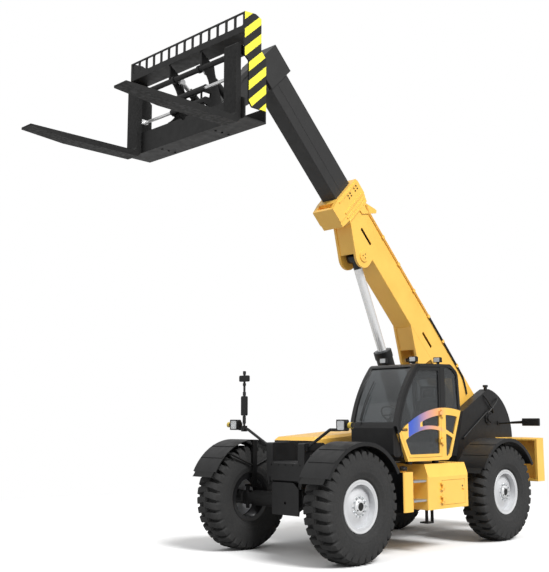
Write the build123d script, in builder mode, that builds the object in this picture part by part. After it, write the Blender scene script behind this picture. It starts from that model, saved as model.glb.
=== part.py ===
"""Heavy telehandler with a telescopic boom and a fork carriage.

Millimetres.  +X forward, +Y to the driver's left, +Z up.  The origin lies on the
ground under the centre of the overall box.  The boom is modelled raised and part
extended.  Its own frame has d along the boom and n square to it, both measured
from the boom pivot.  The tilt head and the carriage hang from the pin at its nose.
"""

from build123d import *
import math
import os

os.makedirs("parts", exist_ok=True)

# ---------------------------------------------------------------- driving dimensions
# wheels and axles
FRONT_AXLE_X = 745.0
WHEELBASE = 3835.0
WHEEL_Y = 1141.0
KINGPIN_Y = 1020.0
KINGPIN_RADIUS = 30.0
KNUCKLE_HEIGHT = 210.0
KNUCKLE_LENGTH = 110.0
KNUCKLE_WIDTH = 120.0
YOKE_GAP = 10.0
YOKE_ARM = 40.0
AXLE_TUBE_RADIUS = 115.0
AXLE_TUBE_INSET = 110.0
DIFF_RADIUS = 165.0
DIFF_WIDTH = 180.0
HUB_RADIUS = 105.0
HUB_FACE = 117.0
STUB_BORE_RADIUS = 60.0
STUB_RADIUS = STUB_BORE_RADIUS - 0.1
STUB_FACE = 172.0
TYRE_RADIUS = 807.5
TYRE_WIDTH = 480.0
TREAD_CROWN_WIDTH = 300.0
SHOULDER_DROP = 40.0
SHOULDER_WIDTH = 444.0
BULGE_RADIUS = 560.0
BEAD_RADIUS = 322.0
BEAD_WIDTH = 340.0
RIM_WALL = 14.0
RIM_LIP = 12.0
RIM_LIP_HEIGHT = 52.0
DISC_WALL = 25.0
DISC_INNER_Y = 60.0
DISC_OUTER_Y = 120.0
DISC_FLAT_RADIUS = 170.0
FENDER_GAP = 85.5
FENDER_SHEET = 12.0
FENDER_WIDTH = 540.0
FENDER_LIP = 40.0
FENDER_FRONT_ANGLE = 28.0
FENDER_REAR_ANGLE = 150.0

# frame, with heights over the axles
CHANNEL_HALF = 265.0
RAIL_WALL = 50.0
FRAME_HALF = 400.0
FRAME_DROP = 187.5
ARCH_RISE = 192.5
FRAME_RISE = 492.5
NOSE_AHEAD = 187.0
NOSE_PLATE = 20.0
NOSE_PANEL_HALF = 280.0
CHEEK_RISE = 380.0
TOW_HOLE_RADIUS = 22.0
TOWER_HALF = 440.0
TOWER_BEHIND = 816.0
TOWER_AHEAD = 1060.0

# boom
BOOM_ANGLE = 45.0
PIVOT_BEHIND_AXLE = 933.0
PIVOT_RISE = 760.0
PIVOT_PIN_RADIUS = 60.0
PIVOT_BOSS_RADIUS = 150.0
BASE_WIDTH = 390.0
BASE_CLEARANCE = 32.5
BASE_WALL = 14.0
BASE_TAIL = 300.0
BASE_LENGTH = 4820.0
COLLAR_LENGTH = 460.0
COLLAR_GROWTH = 30.0
COLLAR_TOP = 366.0
COLLAR_BOTTOM = 500.0
INNER_WIDTH = 300.0
INNER_HEIGHT = 485.0
INNER_WALL = 12.0
INNER_TAIL_D = 2250.0
PAD_GAP = 6.0
HEAD_STEP_D = 7390.0
HEAD_LENGTH = 480.0
HEAD_RISE = 105.5
HEAD_GROWTH = 20.0
NOSE_D = 7658.0
NOSE_N = -1209.0
NOSE_PIN_RADIUS = 50.0
NOSE_EYE_RADIUS = 125.0
NOSE_HALF = 130.0

# boom cylinders
LUG_PLATE = 45.0
LIFT_PIN_D = 4210.0
LIFT_PIN_N = -409.0
LIFT_LUG_RADIUS = 200.0
LIFT_FOOT_AHEAD = 1650.0
LIFT_FOOT_DROP = 900.0
LIFT_BARREL_RADIUS = 145.0
LIFT_ROD_RADIUS = 75.0
LIFT_PIN_RADIUS = 60.0
LIFT_BARREL_LENGTH = 2230.0
LIFT_ROD_INSIDE = 640.0
LIFT_EYE_HALF = 110.0
LEVEL_PIN_D = 1940.0
LEVEL_PIN_N = -492.0
LEVEL_LUG_RADIUS = 110.0
LEVEL_FOOT_AHEAD = 800.0
LEVEL_FOOT_DROP = 730.0
LEVEL_BARREL_RADIUS = 75.0
LEVEL_ROD_RADIUS = 38.0
LEVEL_PIN_RADIUS = 35.0
LEVEL_BARREL_LENGTH = 1160.0
LEVEL_ROD_INSIDE = 330.0
LEVEL_EYE_HALF = 60.0
FOOT_LUG_Y = 160.0

# tilt head and carriage, from the pin at the boom's nose
TILT_AHEAD = 313.0
TILT_DROP = 420.0
TILT_PIN_RADIUS = 45.0
TILT_FOOT_AHEAD = 63.0
TILT_FOOT_DROP = 20.0
TILT_FOOT_RADIUS = 30.0
TILT_EYE_AHEAD = 553.0
TILT_EYE_RISE = 340.0
TILT_CYLINDER_Y = 285.0
TILT_BARREL_RADIUS = 55.0
TILT_ROD_RADIUS = 30.0
TILT_BARREL_LENGTH = 440.0
TILT_ROD_INSIDE = 295.0
HEAD_PLATE_Y = 140.0
HEAD_PLATE = 40.0
FACE_AHEAD = 750.0
CARRIAGE_WIDTH = 2600.0
CARRIAGE_TOP_RISE = 858.0
CARRIAGE_SHEET = 20.0
SIDE_PLATE = 25.0
SLOT_COUNT = 14
SLOT_BAR = 35.0
SLOT_HEIGHT = 165.0
HANGER_Y = 340.0
HANGER_PLATE = 35.0
SHAFT_RADIUS = 40.0
SHAFT_BACK = 62.0
SHAFT_RISE = 340.0
POSITIONER_BACK = 95.0
POSITIONER_RISE = 60.0
POSITIONER_DROP = 125.0
FORK_INSET = 195.0
FORK_WIDTH = 250.0
FORK_THICKNESS = 85.0
FORK_LENGTH = 1850.0
FORK_DROP = 695.0
FORK_GAP = 5.0

# cab, on the frame's left
CAB_LEFT_Y = 1320.0
CAB_RIGHT_Y = 405.0
CAB_WALL = 45.0
CAB_LIFT = 98.0
CAB_CORNER = 130.0
DOOR_HINGE_BACK = 1995.0
DOOR_GAP = 6.0
DOOR_BAR = 45.0
QUARTER_BAR = 129.0
ARC_BAND = 112.0
GLASS = 8.0
PANE_CORNER = 22.0
PANE_REBATE = 10.0

# side box, steps and engine side
BOX_LEFT_Y = 1362.0
BOX_FRONT_BACK = 1557.0
BOX_LENGTH = 1088.0
BOX_DOOR_LENGTH = 630.0
BOX_DOOR_HEIGHT = 380.0
BOX_DOOR_SHEET = 25.0
BOX_FACE_DROP = 152.5
TANK_FRONT_BACK = 985.0
TANK_LENGTH = 245.0
RUNG_HEIGHT = 30.0
LOW_STEP_DROP = 196.0
STEP_STRAP = 16.0
HOOD_FRONT_BACK = 915.0
HOOD_LENGTH = 1980.0
HOOD_RIGHT_Y = -1340.0
HOOD_LEFT_Y = -420.0
HOOD_SHEET = 16.0
BAY_WALL = 30.0

# lamps, mirrors and hinges
LAMP_RADIUS = 82.0
LAMP_Y = 1140.0
LAMP_RISE = 1137.5
ARM_RADIUS = 22.0
MIRROR_POLE_Y = -955.0
HINGE_PIN_RADIUS = 9.0
HINGE_BARREL_RADIUS = 17.0
HINGE_LENGTH = 55.0
HINGE_STAND_OFF = 20.0
RUNNING_FIT = 0.08

# ---------------------------------------------------------------- worked out from them
AXLE_Z = TYRE_RADIUS
REAR_AXLE_X = FRONT_AXLE_X - WHEELBASE
NOSE_X = FRONT_AXLE_X + NOSE_AHEAD
FRAME_BOTTOM_Z = AXLE_Z - FRAME_DROP
ARCH_Z = AXLE_Z + ARCH_RISE
FRAME_TOP_Z = AXLE_Z + FRAME_RISE
PIVOT_X = REAR_AXLE_X - PIVOT_BEHIND_AXLE
PIVOT_Z = FRAME_TOP_Z + PIVOT_RISE
TOWER_REAR_X = PIVOT_X - TOWER_BEHIND
CAB_FLOOR_Z = FRAME_TOP_Z + CAB_LIFT
BOX_TOP_Z = FRAME_TOP_Z + CAB_LIFT / 2 - 4
COS_BOOM = math.cos(math.radians(BOOM_ANGLE))
SIN_BOOM = math.sin(math.radians(BOOM_ANGLE))
BASE_HEIGHT = INNER_HEIGHT + 2 * BASE_CLEARANCE
HALF_BASE = BASE_HEIGHT / 2
FORK_Y = CARRIAGE_WIDTH / 2 - FORK_INSET
HALF_INNER = INNER_HEIGHT / 2
HEAD_END_D = HEAD_STEP_D + HEAD_LENGTH
COLLAR_FRONT_D = BASE_LENGTH + COLLAR_LENGTH
SIDE_VIEW = Plane(origin=(0, 0, 0), x_dir=(1, 0, 0), z_dir=(0, -1, 0))
BOOM_VIEW = Plane(origin=(PIVOT_X, 0, PIVOT_Z), x_dir=(COS_BOOM, 0, SIN_BOOM), z_dir=(0, -1, 0))


def boom_point(d, n, y=0.0):
    """World point of boom coordinates d (along), n (square to it) and y."""
    return (PIVOT_X + d * COS_BOOM - n * SIN_BOOM, y, PIVOT_Z + d * SIN_BOOM + n * COS_BOOM)


HEAD_PIN_X, _, HEAD_PIN_Z = boom_point(NOSE_D, NOSE_N)
TILT_X = HEAD_PIN_X + TILT_AHEAD
TILT_Z = HEAD_PIN_Z - TILT_DROP
FACE_X = HEAD_PIN_X + FACE_AHEAD
CARRIAGE_TOP_Z = HEAD_PIN_Z + CARRIAGE_TOP_RISE
FORK_BOTTOM_Z = HEAD_PIN_Z - FORK_DROP
SHAFT_X = FACE_X - SHAFT_BACK
SHAFT_Z = HEAD_PIN_Z + SHAFT_RISE


# ---------------------------------------------------------------- helpers
def plate(view, outline, y_low, y_high, corner=0.0, mode=Mode.ADD):
    """Plate cut to a side outline between two widths, its corners rounded on request."""
    with BuildSketch(view) as sketch:
        with BuildLine():
            Polyline(*outline, close=True)
        make_face()
        if corner:
            fillet(sketch.vertices(), corner)
    extrude(sketch.sketch.moved(Location((0, y_high, 0))), amount=y_high - y_low, mode=mode)


def both_sides(view, outline, y_low, y_high, corner=0.0, mode=Mode.ADD):
    """The same plate on the left and on the right."""
    plate(view, outline, y_low, y_high, corner, mode)
    plate(view, outline, -y_high, -y_low, corner, mode)


def lug_plates(view, centre, radius, root, y_low, y_high):
    """Pair of lugs: a round end about a pin, drawn out in straight lines to its root."""
    with BuildSketch(view) as sketch:
        with Locations(centre):
            Circle(radius)
        with BuildLine():
            Polyline(*root, close=True)
        make_face()
        make_hull()
    for offset_y in (y_high, -y_low):
        extrude(sketch.sketch.moved(Location((0, offset_y, 0))), amount=y_high - y_low)


def block(x_range, y_range, z_range, mode=Mode.ADD):
    """Rectangular member between three pairs of limits."""
    ranges = [sorted(pair) for pair in (x_range, y_range, z_range)]
    size = [high - low for low, high in ranges]
    with Locations(tuple((high + low) / 2 for low, high in ranges)):
        Box(*size, mode=mode)


def rod_between(start, end, radius, mode=Mode.ADD):
    """Round bar from one point to another."""
    axis = Vector(*end) - Vector(*start)
    with Locations(Plane(origin=start, z_dir=axis)):
        Cylinder(radius, axis.length, align=(Align.CENTER, Align.CENTER, Align.MIN), mode=mode)


def cross_bar(x, z, radius, y_from, y_to, mode=Mode.ADD):
    """Round bar or bore along Y."""
    y_low, y_high = sorted((y_from, y_to))
    rod_between((x, y_low, z), (x, y_high, z), radius, mode)


def turned(x, z, profile):
    """Turned piece about an axis along Y, from a profile of (y, radius) points."""
    with BuildSketch(Plane(origin=(x, 0, z), x_dir=(0, 1, 0), z_dir=(1, 0, 0))) as section:
        with BuildLine():
            Polyline(*profile, close=True)
        make_face()
    revolve(section.sketch, axis=Axis((x, 0, z), (0, 1, 0)))


def hinge_pin(x, y, z, wall_y, ahead):
    """Upright hinge pin on two lugs that seat on a wall, its leaf ahead (+1) or behind (-1)."""
    rod_between((x, y, z - HINGE_LENGTH), (x, y, z + HINGE_LENGTH), HINGE_PIN_RADIUS)
    lug = HINGE_LENGTH * 0.45
    root_x = x - ahead * 3 * HINGE_BARREL_RADIUS
    for low_z in (z - HINGE_LENGTH, z + HINGE_LENGTH - lug):
        rod_between((x, y, low_z), (x, y, low_z + lug), HINGE_BARREL_RADIUS)
        block((root_x, x), (wall_y + 2, y + HINGE_BARREL_RADIUS), (low_z, low_z + lug))
        block((root_x, x - ahead * HINGE_BARREL_RADIUS), (wall_y - 5, wall_y + 2), (low_z, low_z + lug))


def hinge_barrel(x, y, z, wall_y, ahead):
    """Barrel that turns on a hinge pin, with its strap to the leaf."""
    low_z, high_z = z - HINGE_LENGTH / 2, z + HINGE_LENGTH / 2
    strap_x = x + ahead * 4 * HINGE_BARREL_RADIUS
    rod_between((x, y, low_z), (x, y, high_z), HINGE_BARREL_RADIUS)
    block((x, strap_x), (wall_y + 2, y + HINGE_BARREL_RADIUS), (low_z, high_z))
    block((x + ahead * HINGE_BARREL_RADIUS, strap_x), (wall_y - 5, wall_y + 2), (low_z, high_z))
    rod_between((x, y, low_z - 1), (x, y, high_z + 1), HINGE_PIN_RADIUS + RUNNING_FIT, Mode.SUBTRACT)


def finish(part, name):
    """Label a sub-part and write its STEP file."""
    part.label = name
    export_step(part, f"parts/{name}.step")


# ---------------------------------------------------------------- chassis
TOW_HOLE_Z = AXLE_Z - 20
LAMP_ARM_Z = AXLE_Z + CHEEK_RISE + 430
with BuildPart() as chassis:
    rail = [
        (REAR_AXLE_X - 1000, AXLE_Z + 142.5), (REAR_AXLE_X - 420, AXLE_Z + 142.5), (REAR_AXLE_X - 330, ARCH_Z),
        (REAR_AXLE_X + 330, ARCH_Z), (REAR_AXLE_X + 480, FRAME_BOTTOM_Z),
        (FRONT_AXLE_X - 480, FRAME_BOTTOM_Z), (FRONT_AXLE_X - 330, ARCH_Z),
        (NOSE_X - NOSE_PLATE, ARCH_Z), (NOSE_X - NOSE_PLATE, FRAME_TOP_Z + 100),
        (FRONT_AXLE_X - 500, FRAME_TOP_Z + 100), (FRONT_AXLE_X - 800, FRAME_TOP_Z),
        (REAR_AXLE_X - 1000, FRAME_TOP_Z),
    ]
    both_sides(SIDE_VIEW, rail, CHANNEL_HALF, CHANNEL_HALF + RAIL_WALL)
    cheek = [
        (FRONT_AXLE_X - 440, ARCH_Z + 80), (NOSE_X, ARCH_Z + 80), (NOSE_X, FRAME_TOP_Z + CHEEK_RISE),
        (FRONT_AXLE_X - 240, FRAME_TOP_Z + CHEEK_RISE), (FRONT_AXLE_X - 440, FRAME_TOP_Z + 200),
    ]
    both_sides(SIDE_VIEW, cheek, CHANNEL_HALF, FRAME_HALF, 35)
    both_sides(SIDE_VIEW, [(x * 0.55 + (FRONT_AXLE_X - 60) * 0.45, z * 0.55 + (FRAME_TOP_Z + 130) * 0.45)
                           for x, z in cheek], FRAME_HALF - 25, FRAME_HALF + 1, 20, Mode.SUBTRACT)
    nose_beam = [
        (NOSE_X - 350, ARCH_Z + 80), (NOSE_X - 40, ARCH_Z + 80), (NOSE_X, ARCH_Z + 120),
        (NOSE_X, FRAME_TOP_Z + 70), (NOSE_X - 30, FRAME_TOP_Z + 100), (NOSE_X - 350, FRAME_TOP_Z + 100),
    ]
    plate(SIDE_VIEW, nose_beam, -FRAME_HALF, FRAME_HALF)
    with BuildSketch(Plane.YZ.offset(NOSE_X - NOSE_PLATE)) as nose_panel:
        with BuildLine():
            Polyline(
                (-NOSE_PANEL_HALF, FRAME_BOTTOM_Z - 10), (NOSE_PANEL_HALF, FRAME_BOTTOM_Z - 10),
                (NOSE_PANEL_HALF, ARCH_Z), (NOSE_PANEL_HALF - 110, ARCH_Z + 90),
                (-NOSE_PANEL_HALF + 40, ARCH_Z + 90), (-NOSE_PANEL_HALF, ARCH_Z + 50), close=True,
            )
        make_face()
        with Locations((0, TOW_HOLE_Z)):
            Circle(TOW_HOLE_RADIUS, mode=Mode.SUBTRACT)
    extrude(amount=NOSE_PLATE)
    both_sides(SIDE_VIEW, [
        (NOSE_X - 60, ARCH_Z - 60), (NOSE_X - NOSE_PLATE + 1, FRAME_BOTTOM_Z - 10),
        (NOSE_X - NOSE_PLATE + 1, ARCH_Z + 90), (NOSE_X - 60, ARCH_Z + 90),
    ], NOSE_PANEL_HALF - 20, NOSE_PANEL_HALF)
    block((FRONT_AXLE_X - 700, FRONT_AXLE_X - 480), (-CHANNEL_HALF - 5, CHANNEL_HALF + 5),
          (FRAME_BOTTOM_Z + 20, FRAME_BOTTOM_Z + 80))
    block((REAR_AXLE_X + 480, FRONT_AXLE_X - 480), (-CHANNEL_HALF - 5, CHANNEL_HALF + 5),
          (FRAME_BOTTOM_Z, FRAME_BOTTOM_Z + 30))
    block((REAR_AXLE_X - 1000, REAR_AXLE_X + 480), (-CHANNEL_HALF - 5, CHANNEL_HALF + 5), (ARCH_Z, ARCH_Z + 40))
    tower_base_z = FRAME_TOP_Z - 50
    for side in (-1, 1):
        with BuildSketch(SIDE_VIEW) as tower:
            with BuildLine():
                Polyline(
                    (TOWER_REAR_X, FRAME_TOP_Z + 418), (TOWER_REAR_X, tower_base_z),
                    (PIVOT_X + TOWER_AHEAD, tower_base_z), (PIVOT_X + TOWER_AHEAD, FRAME_TOP_Z + 95),
                    (PIVOT_X + 830, PIVOT_Z + 120), (PIVOT_X + 110, PIVOT_Z + 481), (PIVOT_X - 30, PIVOT_Z + 540),
                )
                ThreePointArc((PIVOT_X - 30, PIVOT_Z + 540), (PIVOT_X - 500, PIVOT_Z + 325),
                              (TOWER_REAR_X, FRAME_TOP_Z + 418))
            make_face()
            fillet(tower.vertices().sort_by(Axis.Y)[-2:], 60)
        outer_y = side * TOWER_HALF
        extrude(tower.sketch.moved(Location((0, max(outer_y, side * CHANNEL_HALF), 0))),
                amount=TOWER_HALF - CHANNEL_HALF)
        boss_y = side * (TOWER_HALF + 20)
        cross_bar(PIVOT_X, PIVOT_Z, 2 * PIVOT_PIN_RADIUS, side * CHANNEL_HALF, boss_y)
        rod_between((PIVOT_X - 30, outer_y - side * 60, PIVOT_Z + 500),
                    (PIVOT_X - 30, outer_y - side * 60, PIVOT_Z + 590), 32)
        rod_between((PIVOT_X - 30, outer_y - side * 60, PIVOT_Z + 575),
                    (PIVOT_X - 30, outer_y - side * 60, PIVOT_Z + 615), 48)
        rib_y = outer_y + side * 14
        rod_between((PIVOT_X + 850, rib_y, FRAME_TOP_Z + 400), (PIVOT_X + 60, rib_y, PIVOT_Z + 112), 16)
        for rib_x, rib_z in ((PIVOT_X + 850, FRAME_TOP_Z + 400), (PIVOT_X + 60, PIVOT_Z + 112)):
            cross_bar(rib_x, rib_z, 22, outer_y - side * 2, outer_y + side * 32)
        cross_bar(LIFT_FOOT_AHEAD + PIVOT_X, PIVOT_Z - LIFT_FOOT_DROP, LIFT_PIN_RADIUS * 1.7,
                  side * FOOT_LUG_Y, side * (CHANNEL_HALF + 5))
    both_sides(SIDE_VIEW, [
        (TOWER_REAR_X, AXLE_Z + 142.5), (REAR_AXLE_X - 400, AXLE_Z + 142.5), (REAR_AXLE_X - 250, tower_base_z + 10),
        (TOWER_REAR_X, tower_base_z + 10),
    ], CHANNEL_HALF, FRAME_HALF)
    block((TOWER_REAR_X, TOWER_REAR_X + 176), (-CHANNEL_HALF - 5, CHANNEL_HALF + 5),
          (AXLE_Z + 142.5, FRAME_TOP_Z + 400))
    cross_bar(PIVOT_X, PIVOT_Z, PIVOT_PIN_RADIUS, -TOWER_HALF - 40, TOWER_HALF + 40)
    cross_bar(PIVOT_X + LEVEL_FOOT_AHEAD, PIVOT_Z - LEVEL_FOOT_DROP, LEVEL_PIN_RADIUS,
              -CHANNEL_HALF - 10, CHANNEL_HALF + 10)
finish(chassis.part, "chassis")


# ---------------------------------------------------------------- counterweight
CW_REAR_X = TOWER_REAR_X - 44
CW_FRONT_X = PIVOT_X - 205
CW_HALF = 1300.0
CW_TOP_Z = FRAME_TOP_Z + 400
CW_BOTTOM_Z = AXLE_Z + 122.5
CW_PLATE = 45.0
with BuildPart() as counterweight:
    with BuildSketch(Plane.XY.offset(CW_BOTTOM_Z)) as plan:
        with BuildLine():
            Polyline(
                (CW_REAR_X, -700), (CW_REAR_X, 700), (CW_REAR_X + 400, CW_HALF), (CW_FRONT_X, CW_HALF),
                (CW_FRONT_X, -CW_HALF), (CW_REAR_X + 400, -CW_HALF), close=True,
            )
        make_face()
    extrude(amount=CW_TOP_Z - CW_BOTTOM_Z)
    upright = counterweight.edges().filter_by(Axis.Z).sort_by(Axis.X)
    fillet(upright[:4], 60)
    fillet(counterweight.edges().filter_by(Axis.Y).group_by(Axis.Z)[-1].sort_by(Axis.X)[-1:], 30)
    for side in (-1, 1):
        block((CW_FRONT_X - 215, CW_FRONT_X + 1), (side * TOWER_HALF, side * (CW_HALF - CW_PLATE)),
              (CW_BOTTOM_Z + CW_PLATE, CW_TOP_Z - CW_PLATE), Mode.SUBTRACT)
    block((TOWER_REAR_X, CW_FRONT_X + 1), (-TOWER_HALF, TOWER_HALF), (CW_BOTTOM_Z - 1, CW_TOP_Z + 1), Mode.SUBTRACT)
    block((CW_REAR_X - 1, TOWER_REAR_X + 1), (-110, 110), (CW_BOTTOM_Z + 90, CW_BOTTOM_Z + 230), Mode.SUBTRACT)
    rod_between((CW_REAR_X + 22, 0, CW_BOTTOM_Z + 40), (CW_REAR_X + 22, 0, CW_BOTTOM_Z + 290), 18)
finish(counterweight.part, "counterweight")


# ---------------------------------------------------------------- engine side
HOOD_FRONT_X = FRONT_AXLE_X - HOOD_FRONT_BACK
HOOD_REAR_X = HOOD_FRONT_X - HOOD_LENGTH
BAY_TOP_Z = FRAME_TOP_Z + 260
BAY_BOTTOM_Z = FRAME_BOTTOM_Z + 80
HOOD_SEAM = 5.0
HOOD_REAR_Z = FRAME_TOP_Z + 570
HOOD_HINGE_X = HOOD_REAR_X - HINGE_STAND_OFF
HOOD_HINGE_Z = HOOD_REAR_Z + 10
HOOD_HINGES_Y = (HOOD_LEFT_Y - 200, HOOD_RIGHT_Y + 200)
with BuildPart() as engine_block:
    block((HOOD_FRONT_X - 1250, HOOD_FRONT_X - 250), (HOOD_RIGHT_Y + 200, HOOD_LEFT_Y - 150),
          (FRAME_TOP_Z - 400, FRAME_TOP_Z + 180))
    block((HOOD_FRONT_X - 1100, HOOD_FRONT_X - 400), (HOOD_RIGHT_Y + 320, HOOD_LEFT_Y - 270),
          (FRAME_TOP_Z + 179, FRAME_TOP_Z + 250))
    rod_between((HOOD_FRONT_X - 251, (HOOD_RIGHT_Y + HOOD_LEFT_Y) / 2, FRAME_TOP_Z - 80),
                (HOOD_FRONT_X - 180, (HOOD_RIGHT_Y + HOOD_LEFT_Y) / 2, FRAME_TOP_Z - 80), 230)
finish(engine_block.part, "engine_block")

with BuildPart() as engine_bay:
    bay = [
        (HOOD_REAR_X, BAY_BOTTOM_Z + 60), (HOOD_REAR_X + 60, BAY_BOTTOM_Z), (HOOD_FRONT_X - 120, BAY_BOTTOM_Z),
        (HOOD_FRONT_X, BAY_BOTTOM_Z + 200), (HOOD_FRONT_X, BAY_TOP_Z), (HOOD_REAR_X, BAY_TOP_Z),
    ]
    plate(SIDE_VIEW, bay, HOOD_RIGHT_Y, HOOD_LEFT_Y)
    inner_bay = [
        (HOOD_REAR_X + 40, BAY_BOTTOM_Z + 60), (HOOD_FRONT_X - 150, BAY_BOTTOM_Z + 60),
        (HOOD_FRONT_X - 40, BAY_BOTTOM_Z + 230), (HOOD_FRONT_X - 40, BAY_TOP_Z + 1), (HOOD_REAR_X + 40, BAY_TOP_Z + 1),
    ]
    plate(SIDE_VIEW, inner_bay, HOOD_RIGHT_Y + BAY_WALL, HOOD_LEFT_Y - BAY_WALL, mode=Mode.SUBTRACT)
    with BuildSketch(Plane.XZ.offset(-HOOD_RIGHT_Y + 1)):
        with Locations((HOOD_FRONT_X - 620, FRAME_TOP_Z - 130)):
            with GridLocations(560, 55, 2, 8):
                SlotOverall(460, 24)
    extrude(amount=-BAY_WALL - 2, mode=Mode.SUBTRACT)
    for bracket_x in (HOOD_FRONT_X - 900, HOOD_REAR_X + 250):
        block((bracket_x - 120, bracket_x + 120), (HOOD_LEFT_Y - 1, -CHANNEL_HALF - RAIL_WALL),
              (FRAME_TOP_Z - 400, FRAME_TOP_Z - 200))
    for hinge_y in HOOD_HINGES_Y:
        for lug_y in (hinge_y - HINGE_LENGTH, hinge_y + HINGE_LENGTH):
            block((HOOD_HINGE_X - 50, HOOD_REAR_X + 1), (lug_y - 12, lug_y + 12), (BAY_TOP_Z - 200, BAY_TOP_Z - 1))
            block((HOOD_HINGE_X - 50, HOOD_HINGE_X), (lug_y - 12, lug_y + 12),
                  (BAY_TOP_Z - 2, HOOD_HINGE_Z + HINGE_BARREL_RADIUS))
            cross_bar(HOOD_HINGE_X, HOOD_HINGE_Z, HINGE_BARREL_RADIUS, lug_y - 12, lug_y + 12)
        cross_bar(HOOD_HINGE_X, HOOD_HINGE_Z, HINGE_PIN_RADIUS, hinge_y - HINGE_LENGTH, hinge_y + HINGE_LENGTH)
finish(engine_bay.part, "engine_bay")

with BuildPart() as engine_hood:
    lid = [
        (HOOD_FRONT_X, BAY_TOP_Z + HOOD_SEAM), (HOOD_FRONT_X, HOOD_REAR_Z - 190), (HOOD_FRONT_X - 50, HOOD_REAR_Z - 128),
        (HOOD_REAR_X, HOOD_REAR_Z), (HOOD_REAR_X, BAY_TOP_Z + HOOD_SEAM),
    ]
    plate(SIDE_VIEW, lid, HOOD_RIGHT_Y, HOOD_LEFT_Y)
    top_edges = engine_hood.faces().sort_by(Axis.Z)[-1].edges().filter_by(Axis.Y, reverse=True)
    chamfer(top_edges, 45)
    with BuildSketch(SIDE_VIEW) as hollow_lid:
        with BuildLine():
            Polyline(*lid, close=True)
        make_face()
        offset(amount=-HOOD_SHEET, kind=Kind.INTERSECTION)
    extrude(hollow_lid.sketch.moved(Location((0, HOOD_LEFT_Y - HOOD_SHEET - 22, -HOOD_SHEET))),
            amount=HOOD_LEFT_Y - HOOD_RIGHT_Y - 2 * HOOD_SHEET - 44, mode=Mode.SUBTRACT)
    with BuildSketch(SIDE_VIEW) as open_floor:
        with BuildLine():
            Polyline(
                (HOOD_FRONT_X - HOOD_SHEET, BAY_TOP_Z), (HOOD_FRONT_X - HOOD_SHEET, BAY_TOP_Z + 80),
                (HOOD_REAR_X + HOOD_SHEET, BAY_TOP_Z + 80), (HOOD_REAR_X + HOOD_SHEET, BAY_TOP_Z), close=True,
            )
        make_face()
    extrude(open_floor.sketch.moved(Location((0, HOOD_LEFT_Y - HOOD_SHEET, 0))),
            amount=HOOD_LEFT_Y - HOOD_RIGHT_Y - 2 * HOOD_SHEET, mode=Mode.SUBTRACT)
    for hinge_y in HOOD_HINGES_Y:
        low_y, high_y = hinge_y - HINGE_LENGTH / 2, hinge_y + HINGE_LENGTH / 2
        cross_bar(HOOD_HINGE_X, HOOD_HINGE_Z, HINGE_BARREL_RADIUS, low_y, high_y)
        block((HOOD_HINGE_X, HOOD_REAR_X + 120), (low_y, high_y), (HOOD_REAR_Z - 8, HOOD_HINGE_Z + HINGE_BARREL_RADIUS))
        cross_bar(HOOD_HINGE_X, HOOD_HINGE_Z, HINGE_PIN_RADIUS + RUNNING_FIT, low_y - 1, high_y + 1, Mode.SUBTRACT)
finish(engine_hood.part, "engine_hood")


# ---------------------------------------------------------------- left side box, door, tank and steps
BOX_FRONT_X = FRONT_AXLE_X - BOX_FRONT_BACK
BOX_REAR_X = BOX_FRONT_X - BOX_LENGTH
BOX_BOTTOM_Z = FRAME_BOTTOM_Z + 35
BOX_FACE_TOP_Z = FRAME_TOP_Z - BOX_FACE_DROP
BOX_WALL = 45.0
BOX_DOOR_REAR_X = BOX_REAR_X + 100
BOX_DOOR_FRONT_X = BOX_DOOR_REAR_X + BOX_DOOR_LENGTH
BOX_DOOR_BOTTOM_Z = BOX_BOTTOM_Z + 55
BOX_HINGE_Y = BOX_LEFT_Y + HINGE_STAND_OFF
BOX_HINGES_Z = (BOX_DOOR_BOTTOM_Z + 90, BOX_DOOR_BOTTOM_Z + BOX_DOOR_HEIGHT - 90)
TANK_FRONT_X = FRONT_AXLE_X - TANK_FRONT_BACK
TANK_REAR_X = TANK_FRONT_X - TANK_LENGTH
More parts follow.
